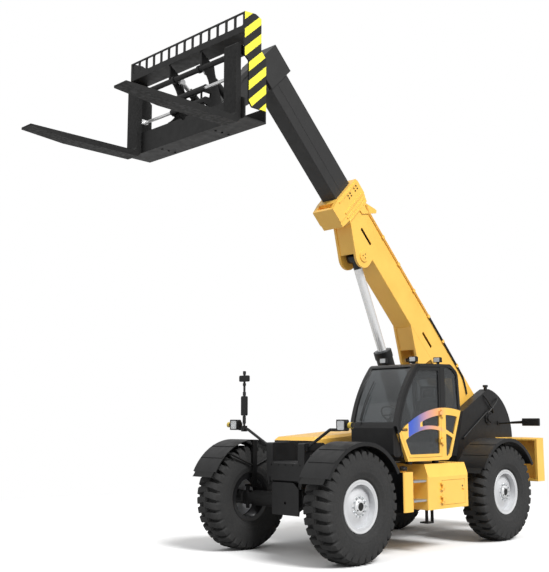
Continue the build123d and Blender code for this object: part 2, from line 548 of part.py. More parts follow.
with BuildPart() as step_box:
    with BuildSketch(Plane.YZ.offset(BOX_REAR_X)) as section:
        with BuildLine():
            Polyline(
                (FRAME_HALF + 20, BOX_BOTTOM_Z), (BOX_LEFT_Y, BOX_BOTTOM_Z), (BOX_LEFT_Y, BOX_FACE_TOP_Z),
                (BOX_LEFT_Y - 70, BOX_TOP_Z), (FRAME_HALF + 20, BOX_TOP_Z), close=True,
            )
        make_face()
    extrude(amount=BOX_LENGTH)
    outer_edges = step_box.edges().filter_by(Axis.Z).group_by(Axis.Y)[-1]
    fillet(outer_edges, 25)
    block((BOX_DOOR_REAR_X, BOX_DOOR_FRONT_X), (FRAME_HALF + 120, BOX_LEFT_Y + 1),
          (BOX_DOOR_BOTTOM_Z, BOX_DOOR_BOTTOM_Z + BOX_DOOR_HEIGHT), Mode.SUBTRACT)
    for hinge_z in BOX_HINGES_Z:
        hinge_pin(BOX_DOOR_FRONT_X, BOX_HINGE_Y, hinge_z, BOX_LEFT_Y, -1)
    for mount_x in (BOX_REAR_X + 200, BOX_FRONT_X - 200):
        block((mount_x - 100, mount_x + 100), (CHANNEL_HALF + RAIL_WALL, FRAME_HALF + 21),
              (FRAME_TOP_Z - 300, FRAME_TOP_Z - 50))
    block((BOX_FRONT_X - 1, TANK_REAR_X + 1), (FRAME_HALF + 30, BOX_LEFT_Y - 320), (FRAME_TOP_Z - 180, FRAME_TOP_Z - 150))
    block((BOX_FRONT_X - 1, TANK_REAR_X + 1), (BOX_LEFT_Y - 360, BOX_LEFT_Y - 320), (BOX_BOTTOM_Z, FRAME_TOP_Z - 150))
    with BuildSketch(Plane.XY.offset(BOX_BOTTOM_Z)):
        with Locations((TANK_REAR_X + TANK_LENGTH / 2, BOX_LEFT_Y - 192)):
            RectangleRounded(TANK_LENGTH, 340, 40)
    extrude(amount=BOX_FACE_TOP_Z - BOX_BOTTOM_Z + 95)
    filler_x = TANK_REAR_X + TANK_LENGTH / 2
    filler_z = BOX_FACE_TOP_Z + 94
    rod_between((filler_x, BOX_LEFT_Y - 130, filler_z), (filler_x + 8, BOX_LEFT_Y - 122, filler_z + 40), 42)
    rod_between((filler_x + 8, BOX_LEFT_Y - 122, filler_z + 38), (filler_x + 14, BOX_LEFT_Y - 116, filler_z + 70), 55)
finish(step_box.part, "step_box")

LOW_STEP_X = (BOX_FRONT_X - 176, BOX_FRONT_X - 20)
LOW_STEP_Y = (BOX_LEFT_Y - 190, BOX_LEFT_Y - 40)
LOW_STEP_Z = BOX_BOTTOM_Z - LOW_STEP_DROP
with BuildPart() as low_step:
    for leg_x in (LOW_STEP_X[0], LOW_STEP_X[1] - STEP_STRAP):
        block((leg_x, leg_x + STEP_STRAP), (LOW_STEP_Y[1] - 50, LOW_STEP_Y[1]), (LOW_STEP_Z, BOX_BOTTOM_Z))
    block(LOW_STEP_X, LOW_STEP_Y, (LOW_STEP_Z - 8, LOW_STEP_Z + 14))
    with BuildSketch(Plane.XY.offset(LOW_STEP_Z + 15)):
        with Locations((sum(LOW_STEP_X) / 2, sum(LOW_STEP_Y) / 2)):
            with GridLocations(48, 60, 3, 2):
                Circle(16)
    extrude(amount=-24, mode=Mode.SUBTRACT)
finish(low_step.part, "low_step")

with BuildPart() as step_rungs:
    for rung_rise in (135, 425):
        rung_z = BOX_BOTTOM_Z + rung_rise
        block((BOX_FRONT_X, TANK_REAR_X), (BOX_LEFT_Y - 210, BOX_LEFT_Y - 32), (rung_z, rung_z + RUNG_HEIGHT))
        with BuildSketch(Plane.XY.offset(rung_z + RUNG_HEIGHT + 1)):
            with Locations(((BOX_FRONT_X + TANK_REAR_X) / 2, BOX_LEFT_Y - 121)):
                with GridLocations(60, 70, 5, 2):
                    Circle(18)
        extrude(amount=-RUNG_HEIGHT - 2, mode=Mode.SUBTRACT)
finish(step_rungs.part, "step_rungs")

with BuildPart() as step_box_door:
    block((BOX_DOOR_REAR_X + 5, BOX_DOOR_FRONT_X - 5), (BOX_LEFT_Y - BOX_DOOR_SHEET, BOX_LEFT_Y),
          (BOX_DOOR_BOTTOM_Z + 5, BOX_DOOR_BOTTOM_Z + BOX_DOOR_HEIGHT - 5))
    fillet(step_box_door.edges().filter_by(Axis.Y), 20)
    for hinge_z in BOX_HINGES_Z:
        hinge_barrel(BOX_DOOR_FRONT_X, BOX_HINGE_Y, hinge_z, BOX_LEFT_Y, -1)
    with BuildSketch(Plane.XZ.offset(-BOX_LEFT_Y - 1)):
        with Locations((BOX_DOOR_REAR_X + 70, BOX_DOOR_BOTTOM_Z + BOX_DOOR_HEIGHT * 0.55)):
            SlotOverall(80, 42)
    extrude(amount=13, mode=Mode.SUBTRACT)
finish(step_box_door.part, "step_box_door")


# ---------------------------------------------------------------- cab
CAB_FRONT_X = FRONT_AXLE_X - 850
DOOR_REAR_X = FRONT_AXLE_X - DOOR_HINGE_BACK
QUARTER_FRONT_X = DOOR_REAR_X - QUARTER_BAR
CAB_MIDDLE_Y = (CAB_LEFT_Y + CAB_RIGHT_Y) / 2
CAB_SILL_RISE = 587.0
MIDDLE_PANE_FRONT_BACK = 650.0
DOOR_FRAME = CAB_WALL + 12
DOOR_HINGE_Y = CAB_LEFT_Y + HINGE_STAND_OFF
DOOR_HINGES_Z = (CAB_FLOOR_Z + 302, CAB_FLOOR_Z + 732)


def cab_point(back, rise):
    """Side-view point of the cab, behind its foremost point and over its floor."""
    return (CAB_FRONT_X - back, CAB_FLOOR_Z + rise)


CAB_BOTTOM_FRONT = cab_point(275, 0)
CAB_SHIN = cab_point(140, 252)
CAB_CHIN = cab_point(0, 532)
CAB_BROW = cab_point(531, 1492)
FASCIA_FOOT = cab_point(275 - 135 * 60 / 252, 60)
CAB_REAR = [cab_point(1450, 1517), cab_point(1645, 1387), cab_point(1698, 770), cab_point(1406, 54), cab_point(1320, 0)]
UPPER_ARC = cab_point(1267.8, -1213)
UPPER_ARC_RADIUS = 2028.9
LOWER_ARC = cab_point(853.9, -853)
LOWER_ARC_RADIUS = 1390.9


def cab_outline(depth=0.0):
    """Side outline of the cab, set in by a depth (added to the sketch being built)."""
    with BuildLine() as outline:
        Polyline(CAB_BROW, *CAB_REAR, CAB_BOTTOM_FRONT, CAB_SHIN, CAB_CHIN)
        ThreePointArc(CAB_CHIN, cab_point(225, 1102), CAB_BROW)
    make_face(outline.edges())
    if depth:
        offset(amount=-depth, kind=Kind.INTERSECTION)


def span(x_low, x_high, z_low=0.0, z_high=CAB_FLOOR_Z + 2000):
    """Keep what lies between two stations and two heights in the sketch being built."""
    with Locations(((x_low + x_high) / 2, (z_low + z_high) / 2)):
        Rectangle(x_high - x_low, z_high - z_low, mode=Mode.INTERSECT)


def side_panes(x_low, x_high, depth):
    """The three side windows between two stations: over, between and under two curved bands."""
    panes = []
    with BuildSketch(SIDE_VIEW) as top_pane:
        cab_outline(depth)
        span(x_low, x_high)
        with Locations(UPPER_ARC):
            Circle(UPPER_ARC_RADIUS, mode=Mode.SUBTRACT)
        fillet(top_pane.vertices(), PANE_CORNER)
    with BuildSketch(SIDE_VIEW) as middle_pane:
        cab_outline(depth)
        span(x_low, min(x_high, CAB_FRONT_X - MIDDLE_PANE_FRONT_BACK))
        with Locations(UPPER_ARC):
            Circle(UPPER_ARC_RADIUS - ARC_BAND, mode=Mode.INTERSECT)
        with Locations(LOWER_ARC):
            Circle(LOWER_ARC_RADIUS, mode=Mode.SUBTRACT)
        fillet(middle_pane.vertices(), PANE_CORNER)
    with BuildSketch(SIDE_VIEW) as low_pane:
        cab_outline(depth)
        span(x_low, x_high)
        with Locations(LOWER_ARC):
            Circle(LOWER_ARC_RADIUS - ARC_BAND / 2, mode=Mode.INTERSECT)
        fillet(low_pane.vertices(), PANE_CORNER)
    for sketch in (top_pane, middle_pane, low_pane):
        panes.append(sketch.sketch)
    return panes


def right_pane():
    """The one window of the right wall."""
    with BuildSketch(SIDE_VIEW) as pane:
        cab_outline(CAB_WALL + PANE_REBATE)
        span(CAB_FRONT_X - 1700, CAB_FRONT_X, CAB_FLOOR_Z + CAB_SILL_RISE)
        fillet(pane.vertices(), PANE_CORNER)
    return pane.sketch


def cross_band(depth, thickness, window):
    """Part of a sheet that follows the cab outline, kept between two stations and two heights."""
    with BuildSketch(SIDE_VIEW) as band:
        cab_outline(depth)
        offset(amount=-thickness, mode=Mode.SUBTRACT)
        span(*window)
    return band.sketch


def across_y(sketch, y_low, y_high, mode=Mode.ADD):
    """Extrude a side-view sketch between two widths."""
    extrude(sketch.moved(Location((0, y_high, 0))), amount=y_high - y_low, mode=mode)


CROSS_PANES = (
    # rear station, front station, lower and upper height, margin to the side walls
    ((CAB_FRONT_X - 520, CAB_FRONT_X + 100, CAB_FLOOR_Z + CAB_SILL_RISE, CAB_FLOOR_Z + 1440), 72),
    ((CAB_FRONT_X - 1750, CAB_FRONT_X - 1560, CAB_FLOOR_Z + 852, CAB_FLOOR_Z + 1302), 92),
    ((CAB_FRONT_X - 1245, CAB_FRONT_X - 595, CAB_FLOOR_Z + 1400, CAB_FLOOR_Z + 1600), 150),
)
QUARTER_PANES = side_panes(CAB_FRONT_X - 1750, QUARTER_FRONT_X, CAB_WALL + PANE_REBATE)
DOOR_PANES = side_panes(DOOR_REAR_X + DOOR_BAR, CAB_FRONT_X, DOOR_FRAME + DOOR_BAR)
RIGHT_PANE = right_pane()
with BuildPart() as cab_frame:
    with BuildSketch(SIDE_VIEW) as shell:
        cab_outline()
        fillet(shell.vertices().sort_by(Axis.Y)[-3:], CAB_CORNER)
    across_y(shell.sketch, CAB_RIGHT_Y, CAB_LEFT_Y)
    with BuildSketch(SIDE_VIEW) as cabin:
        cab_outline(CAB_WALL)
    across_y(cabin.sketch, CAB_RIGHT_Y + CAB_WALL, CAB_LEFT_Y - CAB_WALL, Mode.SUBTRACT)
    with BuildSketch(SIDE_VIEW) as door_hole:
        cab_outline(DOOR_FRAME - DOOR_GAP)
        span(DOOR_REAR_X - DOOR_GAP, CAB_FRONT_X)
    across_y(door_hole.sketch, CAB_LEFT_Y - CAB_WALL - 1, CAB_LEFT_Y + 1, Mode.SUBTRACT)
    for pane in QUARTER_PANES:
        across_y(pane, CAB_LEFT_Y - CAB_WALL - 1, CAB_LEFT_Y + 1, Mode.SUBTRACT)
    across_y(RIGHT_PANE, CAB_RIGHT_Y - 1, CAB_RIGHT_Y + CAB_WALL + 1, Mode.SUBTRACT)
    for window, margin in CROSS_PANES:
        across_y(cross_band(-1, CAB_WALL + 2, window), CAB_RIGHT_Y + margin, CAB_LEFT_Y - margin, Mode.SUBTRACT)
    for hinge_z in DOOR_HINGES_Z:
        hinge_pin(DOOR_REAR_X, DOOR_HINGE_Y, hinge_z, CAB_LEFT_Y, 1)
    for mount_x in (CAB_FRONT_X - 1245, CAB_FRONT_X - 545):
        for mount_y in (CAB_RIGHT_Y + 80, CAB_LEFT_Y - 200):
            rod_between((mount_x, mount_y, BOX_TOP_Z), (mount_x, mount_y, CAB_FLOOR_Z + 1), 55)
finish(cab_frame.part, "cab_frame")

with BuildPart() as cab_glass:
    for pane in QUARTER_PANES:
        across_y(pane, CAB_LEFT_Y - 24, CAB_LEFT_Y - 24 + GLASS)
    across_y(RIGHT_PANE, CAB_RIGHT_Y + 24 - GLASS, CAB_RIGHT_Y + 24)
    for window, margin in CROSS_PANES:
        across_y(cross_band(18, GLASS, window), CAB_RIGHT_Y + margin, CAB_LEFT_Y - margin)
finish(cab_glass.part, "cab_glass")

with BuildPart() as cab_fascia:
    plate(SIDE_VIEW, [FASCIA_FOOT, cab_point(20, 75), cab_point(-18, 115), cab_point(-18, 500), CAB_CHIN, CAB_SHIN],
          CAB_RIGHT_Y + 45, CAB_LEFT_Y - 50)
finish(cab_fascia.part, "cab_fascia")

FLOOR_TOP_Z = CAB_FLOOR_Z + CAB_WALL
SEAT_X = CAB_FRONT_X - 1070
SEAT_Z = CAB_FLOOR_Z + 382
with BuildPart() as cab_interior:
    plate(SIDE_VIEW, [(SEAT_X - 215, FLOOR_TOP_Z), (SEAT_X + 215, FLOOR_TOP_Z), (SEAT_X + 150, SEAT_Z),
                      (SEAT_X - 215, SEAT_Z)], CAB_MIDDLE_Y - 200, CAB_MIDDLE_Y + 200, 20)
    console_side = [
        (CAB_FRONT_X - 455, FLOOR_TOP_Z), (CAB_FRONT_X - 375, FLOOR_TOP_Z), (CAB_FRONT_X - 255, SEAT_Z + 20),
        (CAB_FRONT_X - 295, SEAT_Z + 180), (CAB_FRONT_X - 365, SEAT_Z + 180), (CAB_FRONT_X - 375, SEAT_Z + 20),
    ]
    plate(SIDE_VIEW, console_side, CAB_MIDDLE_Y - 230, CAB_MIDDLE_Y + 230, 12)
    column_foot = (CAB_FRONT_X - 345, CAB_MIDDLE_Y, SEAT_Z + 160)
    column_head = (CAB_FRONT_X - 485, CAB_MIDDLE_Y, SEAT_Z + 305)
    rod_between(column_foot, column_head, 26)
    with Locations(Plane(origin=(CAB_FRONT_X - 495, CAB_MIDDLE_Y, SEAT_Z + 315), z_dir=(-0.7, 0, 0.72))):
        Torus(190, 14)
        Box(24, 370, 14)
        Cylinder(45, 40)
    for armrest_y in (CAB_MIDDLE_Y - 290, CAB_MIDDLE_Y + 250):
        plate(SIDE_VIEW, [(SEAT_X - 200, SEAT_Z - 190), (SEAT_X - 100, SEAT_Z - 190), (SEAT_X - 60, SEAT_Z + 190),
                          (SEAT_X + 130, SEAT_Z + 190), (SEAT_X + 130, SEAT_Z + 240), (SEAT_X - 180, SEAT_Z + 240)],
              armrest_y, armrest_y + 40, 15)
    block((SEAT_X - 190, SEAT_X - 110), (CAB_MIDDLE_Y - 270, CAB_MIDDLE_Y + 270), (SEAT_Z - 180, SEAT_Z - 130))
finish(cab_interior.part, "cab_interior")

with BuildPart() as driver_seat:
    plate(SIDE_VIEW, [(SEAT_X + 215, SEAT_Z), (SEAT_X + 255, SEAT_Z + 50), (SEAT_X + 235, SEAT_Z + 110),
                      (SEAT_X - 200, SEAT_Z + 90), (SEAT_X - 325, SEAT_Z + 770), (SEAT_X - 405, SEAT_Z + 770),
                      (SEAT_X - 305, SEAT_Z)], CAB_MIDDLE_Y - 240, CAB_MIDDLE_Y + 240, 24)
finish(driver_seat.part, "driver_seat")

with BuildPart() as cab_door:
    with BuildSketch(SIDE_VIEW) as leaf:
        cab_outline(DOOR_FRAME)
        span(DOOR_REAR_X, CAB_FRONT_X)
        fillet(leaf.vertices(), 12)
    across_y(leaf.sketch, CAB_LEFT_Y - CAB_WALL + 5, CAB_LEFT_Y)
    for pane in DOOR_PANES:
        across_y(pane, CAB_LEFT_Y - CAB_WALL, CAB_LEFT_Y + 1, Mode.SUBTRACT)
    for hinge_z in DOOR_HINGES_Z:
        hinge_barrel(DOOR_REAR_X, DOOR_HINGE_Y, hinge_z, CAB_LEFT_Y, 1)
    handle_z = CAB_FLOOR_Z + 475
    with BuildSketch(Plane.XZ.offset(-CAB_LEFT_Y - 1)):
        with Locations((CAB_FRONT_X - 195, handle_z)):
            SlotOverall(150, 44)
    extrude(amount=14, mode=Mode.SUBTRACT)
    rod_between((CAB_FRONT_X - 245, CAB_LEFT_Y - 6, handle_z), (CAB_FRONT_X - 145, CAB_LEFT_Y - 6, handle_z), 8)
finish(cab_door.part, "cab_door")

with BuildPart() as cab_door_glass:
    for pane in DOOR_PANES:
        across_y(pane, CAB_LEFT_Y - 24, CAB_LEFT_Y - 24 + GLASS)
finish(cab_door_glass.part, "cab_door_glass")

ROOF_SLOPE = (1517 - 1492) / (1450 - 531)
WORK_LAMPS = (
    # distance behind the cab's foremost point, y
    (680, CAB_RIGHT_Y + 160),
    (680, CAB_LEFT_Y - 160),
    (1330, CAB_LEFT_Y - 160),
)
with BuildPart() as work_lamps:
    for lamp_back, lamp_y in WORK_LAMPS:
        roof_rise = 1492 + (lamp_back - 531) * ROOF_SLOPE
        foot = [cab_point(lamp_back - 15, roof_rise - 15 * ROOF_SLOPE), cab_point(lamp_back + 15, roof_rise + 15 * ROOF_SLOPE),
                cab_point(lamp_back + 15, roof_rise + 40), cab_point(lamp_back - 15, roof_rise + 40)]
        plate(SIDE_VIEW, foot, lamp_y - 20, lamp_y + 20)
        housing = [cab_point(lamp_back - 35, roof_rise + 30), cab_point(lamp_back + 25, roof_rise + 38),
                   cab_point(lamp_back + 25, roof_rise + 112), cab_point(lamp_back - 35, roof_rise + 120)]
        plate(SIDE_VIEW, housing, lamp_y - 65, lamp_y + 65, 10)
finish(work_lamps.part, "work_lamps")


# ---------------------------------------------------------------- axles and drive line
YOKE_REACH = KINGPIN_Y - AXLE_TUBE_INSET
ARM_Z = KNUCKLE_HEIGHT / 2 + YOKE_GAP
for name, axle_x in (("front_axle", FRONT_AXLE_X), ("rear_axle", REAR_AXLE_X)):
    with BuildPart() as axle:
        turned(axle_x, AXLE_Z, [
            (-YOKE_REACH, 0), (-YOKE_REACH, AXLE_TUBE_RADIUS), (-DIFF_WIDTH, AXLE_TUBE_RADIUS),
            (-DIFF_WIDTH / 2, DIFF_RADIUS), (DIFF_WIDTH / 2, DIFF_RADIUS), (DIFF_WIDTH, AXLE_TUBE_RADIUS),
            (YOKE_REACH, AXLE_TUBE_RADIUS), (YOKE_REACH, 0),
        ])
        block((axle_x - 120, axle_x + 120), (-CHANNEL_HALF - 40, CHANNEL_HALF + 40), (AXLE_Z, ARCH_Z))
        for side in (-1, 1):
            for arm_z in (-ARM_Z - YOKE_ARM, ARM_Z):
                with BuildSketch(Plane.XY.offset(AXLE_Z + arm_z)) as yoke_arm:
                    with Locations((axle_x, side * KINGPIN_Y)):
                        Circle(2 * KINGPIN_RADIUS)
                    with Locations((axle_x, side * (YOKE_REACH - 20))):
                        Rectangle(150, 40)
                    make_hull()
                    with Locations((axle_x, side * KINGPIN_Y)):
                        Circle(KINGPIN_RADIUS + RUNNING_FIT, mode=Mode.SUBTRACT)
                extrude(amount=YOKE_ARM)
            block((axle_x - 75, axle_x + 75), (side * (YOKE_REACH - 40), side * YOKE_REACH),
                  (AXLE_Z - ARM_Z - YOKE_ARM, AXLE_Z + ARM_Z + YOKE_ARM))
    finish(axle.part, name)

GEARBOX_X = REAR_AXLE_X + 1750
with BuildPart() as drive_line:
    with BuildSketch(Plane.YZ.offset(GEARBOX_X - 250)):
        with Locations((0, AXLE_Z - 10)):
            RectangleRounded(360, 285, 50)
    extrude(amount=500)
    for shaft_from, shaft_to in ((REAR_AXLE_X + DIFF_RADIUS + 1, GEARBOX_X - 249), (GEARBOX_X + 249, FRONT_AXLE_X - DIFF_RADIUS - 1)):
        rod_between((shaft_from, 0, AXLE_Z), (shaft_to, 0, AXLE_Z), 50)
        rod_between((shaft_from, 0, AXLE_Z), (shaft_from + 60, 0, AXLE_Z), 85)
        rod_between((shaft_to - 60, 0, AXLE_Z), (shaft_to, 0, AXLE_Z), 85)
finish(drive_line.part, "drive_line")


# ---------------------------------------------------------------- knuckles, fenders and wheels
TYRE_PROFILE = [
    (-BEAD_WIDTH / 2, BEAD_RADIUS), (-BEAD_WIDTH / 2, BEAD_RADIUS + RIM_LIP_HEIGHT),
    (-TYRE_WIDTH / 2, BULGE_RADIUS), (-SHOULDER_WIDTH / 2, TYRE_RADIUS - SHOULDER_DROP),
    (-TREAD_CROWN_WIDTH / 2, TYRE_RADIUS), (TREAD_CROWN_WIDTH / 2, TYRE_RADIUS),
    (SHOULDER_WIDTH / 2, TYRE_RADIUS - SHOULDER_DROP), (TYRE_WIDTH / 2, BULGE_RADIUS),
    (BEAD_WIDTH / 2, BEAD_RADIUS + RIM_LIP_HEIGHT), (BEAD_WIDTH / 2, BEAD_RADIUS),
]
WELL_RADIUS = BEAD_RADIUS - RIM_WALL
LIP_Y = BEAD_WIDTH / 2 + RIM_LIP
RIM_PROFILE = [
    (-LIP_Y, WELL_RADIUS), (-LIP_Y, BEAD_RADIUS + RIM_LIP_HEIGHT), (-BEAD_WIDTH / 2, BEAD_RADIUS + RIM_LIP_HEIGHT),
    (-BEAD_WIDTH / 2, BEAD_RADIUS), (BEAD_WIDTH / 2, BEAD_RADIUS),
    (BEAD_WIDTH / 2, BEAD_RADIUS + RIM_LIP_HEIGHT), (LIP_Y, BEAD_RADIUS + RIM_LIP_HEIGHT), (LIP_Y, WELL_RADIUS),
    (DISC_INNER_Y + DISC_WALL, WELL_RADIUS), (DISC_OUTER_Y + DISC_WALL, DISC_FLAT_RADIUS),
    (DISC_OUTER_Y + DISC_WALL, STUB_BORE_RADIUS), (DISC_OUTER_Y, STUB_BORE_RADIUS),
    (DISC_OUTER_Y, DISC_FLAT_RADIUS), (DISC_INNER_Y, WELL_RADIUS),
]
FENDER_RADIUS = TYRE_RADIUS + FENDER_GAP
CORNERS = (
    # name, axle x, side
    ("front_left", FRONT_AXLE_X, 1),
    ("front_right", FRONT_AXLE_X, -1),
    ("rear_left", REAR_AXLE_X, 1),
    ("rear_right", REAR_AXLE_X, -1),
)
for corner, axle_x, side in CORNERS:
    outward = [(side * y, radius) for y, radius in RIM_PROFILE]
    kingpin_y = side * KINGPIN_Y
    with BuildPart() as knuckle:
        with BuildSketch(Plane.XY.offset(AXLE_Z - KNUCKLE_HEIGHT / 2)):
            with Locations((axle_x, kingpin_y)):
                RectangleRounded(KNUCKLE_LENGTH, KNUCKLE_WIDTH, 30)
        extrude(amount=KNUCKLE_HEIGHT)
        with Locations((axle_x, kingpin_y, AXLE_Z)):
            Cylinder(KINGPIN_RADIUS, 2 * (ARM_Z + YOKE_ARM) + 30)
        turned(axle_x, AXLE_Z, [
            (side * (KINGPIN_Y + KNUCKLE_WIDTH / 2 - 5), 0), (side * (KINGPIN_Y + KNUCKLE_WIDTH / 2 - 5), HUB_RADIUS),
            (side * (WHEEL_Y + HUB_FACE), HUB_RADIUS), (side * (WHEEL_Y + HUB_FACE), STUB_RADIUS),
            (side * (WHEEL_Y + STUB_FACE), STUB_RADIUS), (side * (WHEEL_Y + STUB_FACE), 0),
        ])
    finish(knuckle.part, f"knuckle_{corner}")

    edge_y = side * (WHEEL_Y + 10 + FENDER_WIDTH / 2)
    inner_y = side * (WHEEL_Y + 10 - FENDER_WIDTH / 2)
    start = math.radians(FENDER_FRONT_ANGLE)
    with BuildPart() as fender:
        with BuildSketch(Plane(origin=(axle_x, 0, AXLE_Z), x_dir=(0, 1, 0),
                               z_dir=(math.sin(start), 0, -math.cos(start)))):
            with BuildLine():
                Polyline(
                    (inner_y, FENDER_RADIUS), (inner_y, FENDER_RADIUS + FENDER_SHEET),
                    (edge_y, FENDER_RADIUS + FENDER_SHEET), (edge_y, FENDER_RADIUS - FENDER_LIP),
                    (edge_y - side * FENDER_SHEET, FENDER_RADIUS - FENDER_LIP),
                    (edge_y - side * FENDER_SHEET, FENDER_RADIUS), close=True,
                )
            make_face()
        revolve(axis=Axis((axle_x, 0, AXLE_Z), (0, -1, 0)), revolution_arc=FENDER_REAR_ANGLE - FENDER_FRONT_ANGLE)
        post_y = side * (KINGPIN_Y - 150)
        top_z = AXLE_Z + FENDER_RADIUS + FENDER_SHEET / 2
        pin_top_z = AXLE_Z + ARM_Z + YOKE_ARM + 15
        block((axle_x - 45, axle_x + 45), (post_y - side * 15, post_y + side * 11), (pin_top_z, top_z - 40))
        block((axle_x - 45, axle_x + 45), (post_y - side * 15, inner_y + side * 30), (top_z - 40, top_z - 3))
        block((axle_x - 45, axle_x + 45), (post_y, kingpin_y + side * 20), (pin_top_z, pin_top_z + 30))
        for brace in (-1, 1):
            rod_between((axle_x + brace * 30, post_y, AXLE_Z + 500),
                        (axle_x + brace * FENDER_RADIUS * 0.62, post_y, AXLE_Z + FENDER_RADIUS * 0.79), 14)
            rod_between((axle_x + brace * FENDER_RADIUS * 0.62, post_y, AXLE_Z + FENDER_RADIUS * 0.79),
                        (axle_x + brace * FENDER_RADIUS * 0.62, inner_y + side * 20, AXLE_Z + FENDER_RADIUS * 0.79), 14)
    finish(fender.part, f"fender_{corner}")

    with BuildPart() as tyre:
        turned(axle_x, AXLE_Z, [(side * WHEEL_Y + y, radius) for y, radius in TYRE_PROFILE])
    finish(tyre.part, f"tyre_{corner}")

    with BuildPart() as rim:
        turned(axle_x, AXLE_Z, [(side * WHEEL_Y + y, radius) for y, radius in outward])
    finish(rim.part, f"rim_{corner}")


# ---------------------------------------------------------------- lamps and mirrors
LAMP_Z = AXLE_Z + LAMP_RISE
LAMP_X = NOSE_X - 40
CHEEK_TOP_Z = FRAME_TOP_Z + CHEEK_RISE
with BuildPart() as headlamps:
    for side in (-1, 1):
        elbow = (LAMP_X, side * 880, LAMP_Z - 65)
        block((NOSE_X - 120, NOSE_X - 20), (side * FRAME_HALF, side * (FRAME_HALF + 24)),
              (CHEEK_TOP_Z - 120, CHEEK_TOP_Z - 10))
        with BuildLine() as arm_path:
            FilletPolyline((NOSE_X - 70, side * (FRAME_HALF + 14), CHEEK_TOP_Z - 60), elbow,
                           (LAMP_X, side * (LAMP_Y - 60), LAMP_Z - 65), radius=50)
        with BuildSketch(Plane(origin=arm_path.line @ 0, z_dir=arm_path.line % 0)):
            Circle(ARM_RADIUS)
        sweep(path=arm_path.line)
        with BuildSketch(Plane.YZ.offset(LAMP_X + 60)):
            with Locations((side * LAMP_Y, LAMP_Z)):
                RectangleRounded(2 * LAMP_RADIUS, 2 * LAMP_RADIUS, 30)
        extrude(amount=-90)
        with BuildSketch(Plane.YZ.offset(LAMP_X - 29)):
            with Locations((side * LAMP_Y, LAMP_Z)):
                Circle(LAMP_RADIUS - 20)
        extrude(amount=-46)
        cross_bar(LAMP_X + 10, LAMP_Z, 42, side * (LAMP_Y + LAMP_RADIUS - 2), side * (LAMP_Y + LAMP_RADIUS + 95))
finish(headlamps.part, "headlamps")

POLE_X = LAMP_X
with BuildPart() as mirrors:
    rod_between((POLE_X, MIRROR_POLE_Y, LAMP_Z - 60), (POLE_X, MIRROR_POLE_Y, LAMP_Z + 855), 18)
    block((POLE_X - 35, POLE_X + 35), (MIRROR_POLE_Y - 35, MIRROR_POLE_Y + 35), (LAMP_Z - 105, LAMP_Z - 15))
    cross_bar(POLE_X, LAMP_Z - 65, ARM_RADIUS + RUNNING_FIT, MIRROR_POLE_Y - 60, MIRROR_POLE_Y + 60, Mode.SUBTRACT)
    for mirror_width, mirror_height, mirror_rise in ((120, 310, 300), (210, 100, 735)):
        with BuildSketch(Plane.YZ.offset(POLE_X - 20)):
            with Locations((MIRROR_POLE_Y, LAMP_Z + mirror_rise)):
                RectangleRounded(mirror_width, mirror_height, 25)
        extrude(amount=40)
    marker_x, marker_z = PIVOT_X - 350, PIVOT_Z - 85
    block((marker_x - 40, marker_x + 40), (TOWER_HALF, TOWER_HALF + 14), (marker_z - 50, marker_z + 30))
    rod_between((marker_x, TOWER_HALF + 6, marker_z - 15), (marker_x, 960, marker_z + 10), 16)
    with BuildSketch(Plane.XZ.offset(-950)):
        with Locations((marker_x, marker_z + 10)):
            SlotOverall(140, 50, rotation=90)
    extrude(amount=-340)
finish(mirrors.part, "mirrors")


# ---------------------------------------------------------------- boom
def boom_tube(d_from, d_to, width, height, corner=0.0, centre_n=0.0, mode=Mode.ADD):
    """Box section along the boom between two stations, its long edges rounded on request."""
    station = Plane(origin=boom_point(d_from, centre_n), x_dir=(0, 1, 0), z_dir=(COS_BOOM, 0, SIN_BOOM))
    with BuildSketch(station) as section:
        if corner:
            RectangleRounded(width, height, corner)
        else:
            Rectangle(width, height)
    extrude(section.sketch, amount=d_to - d_from, mode=mode)


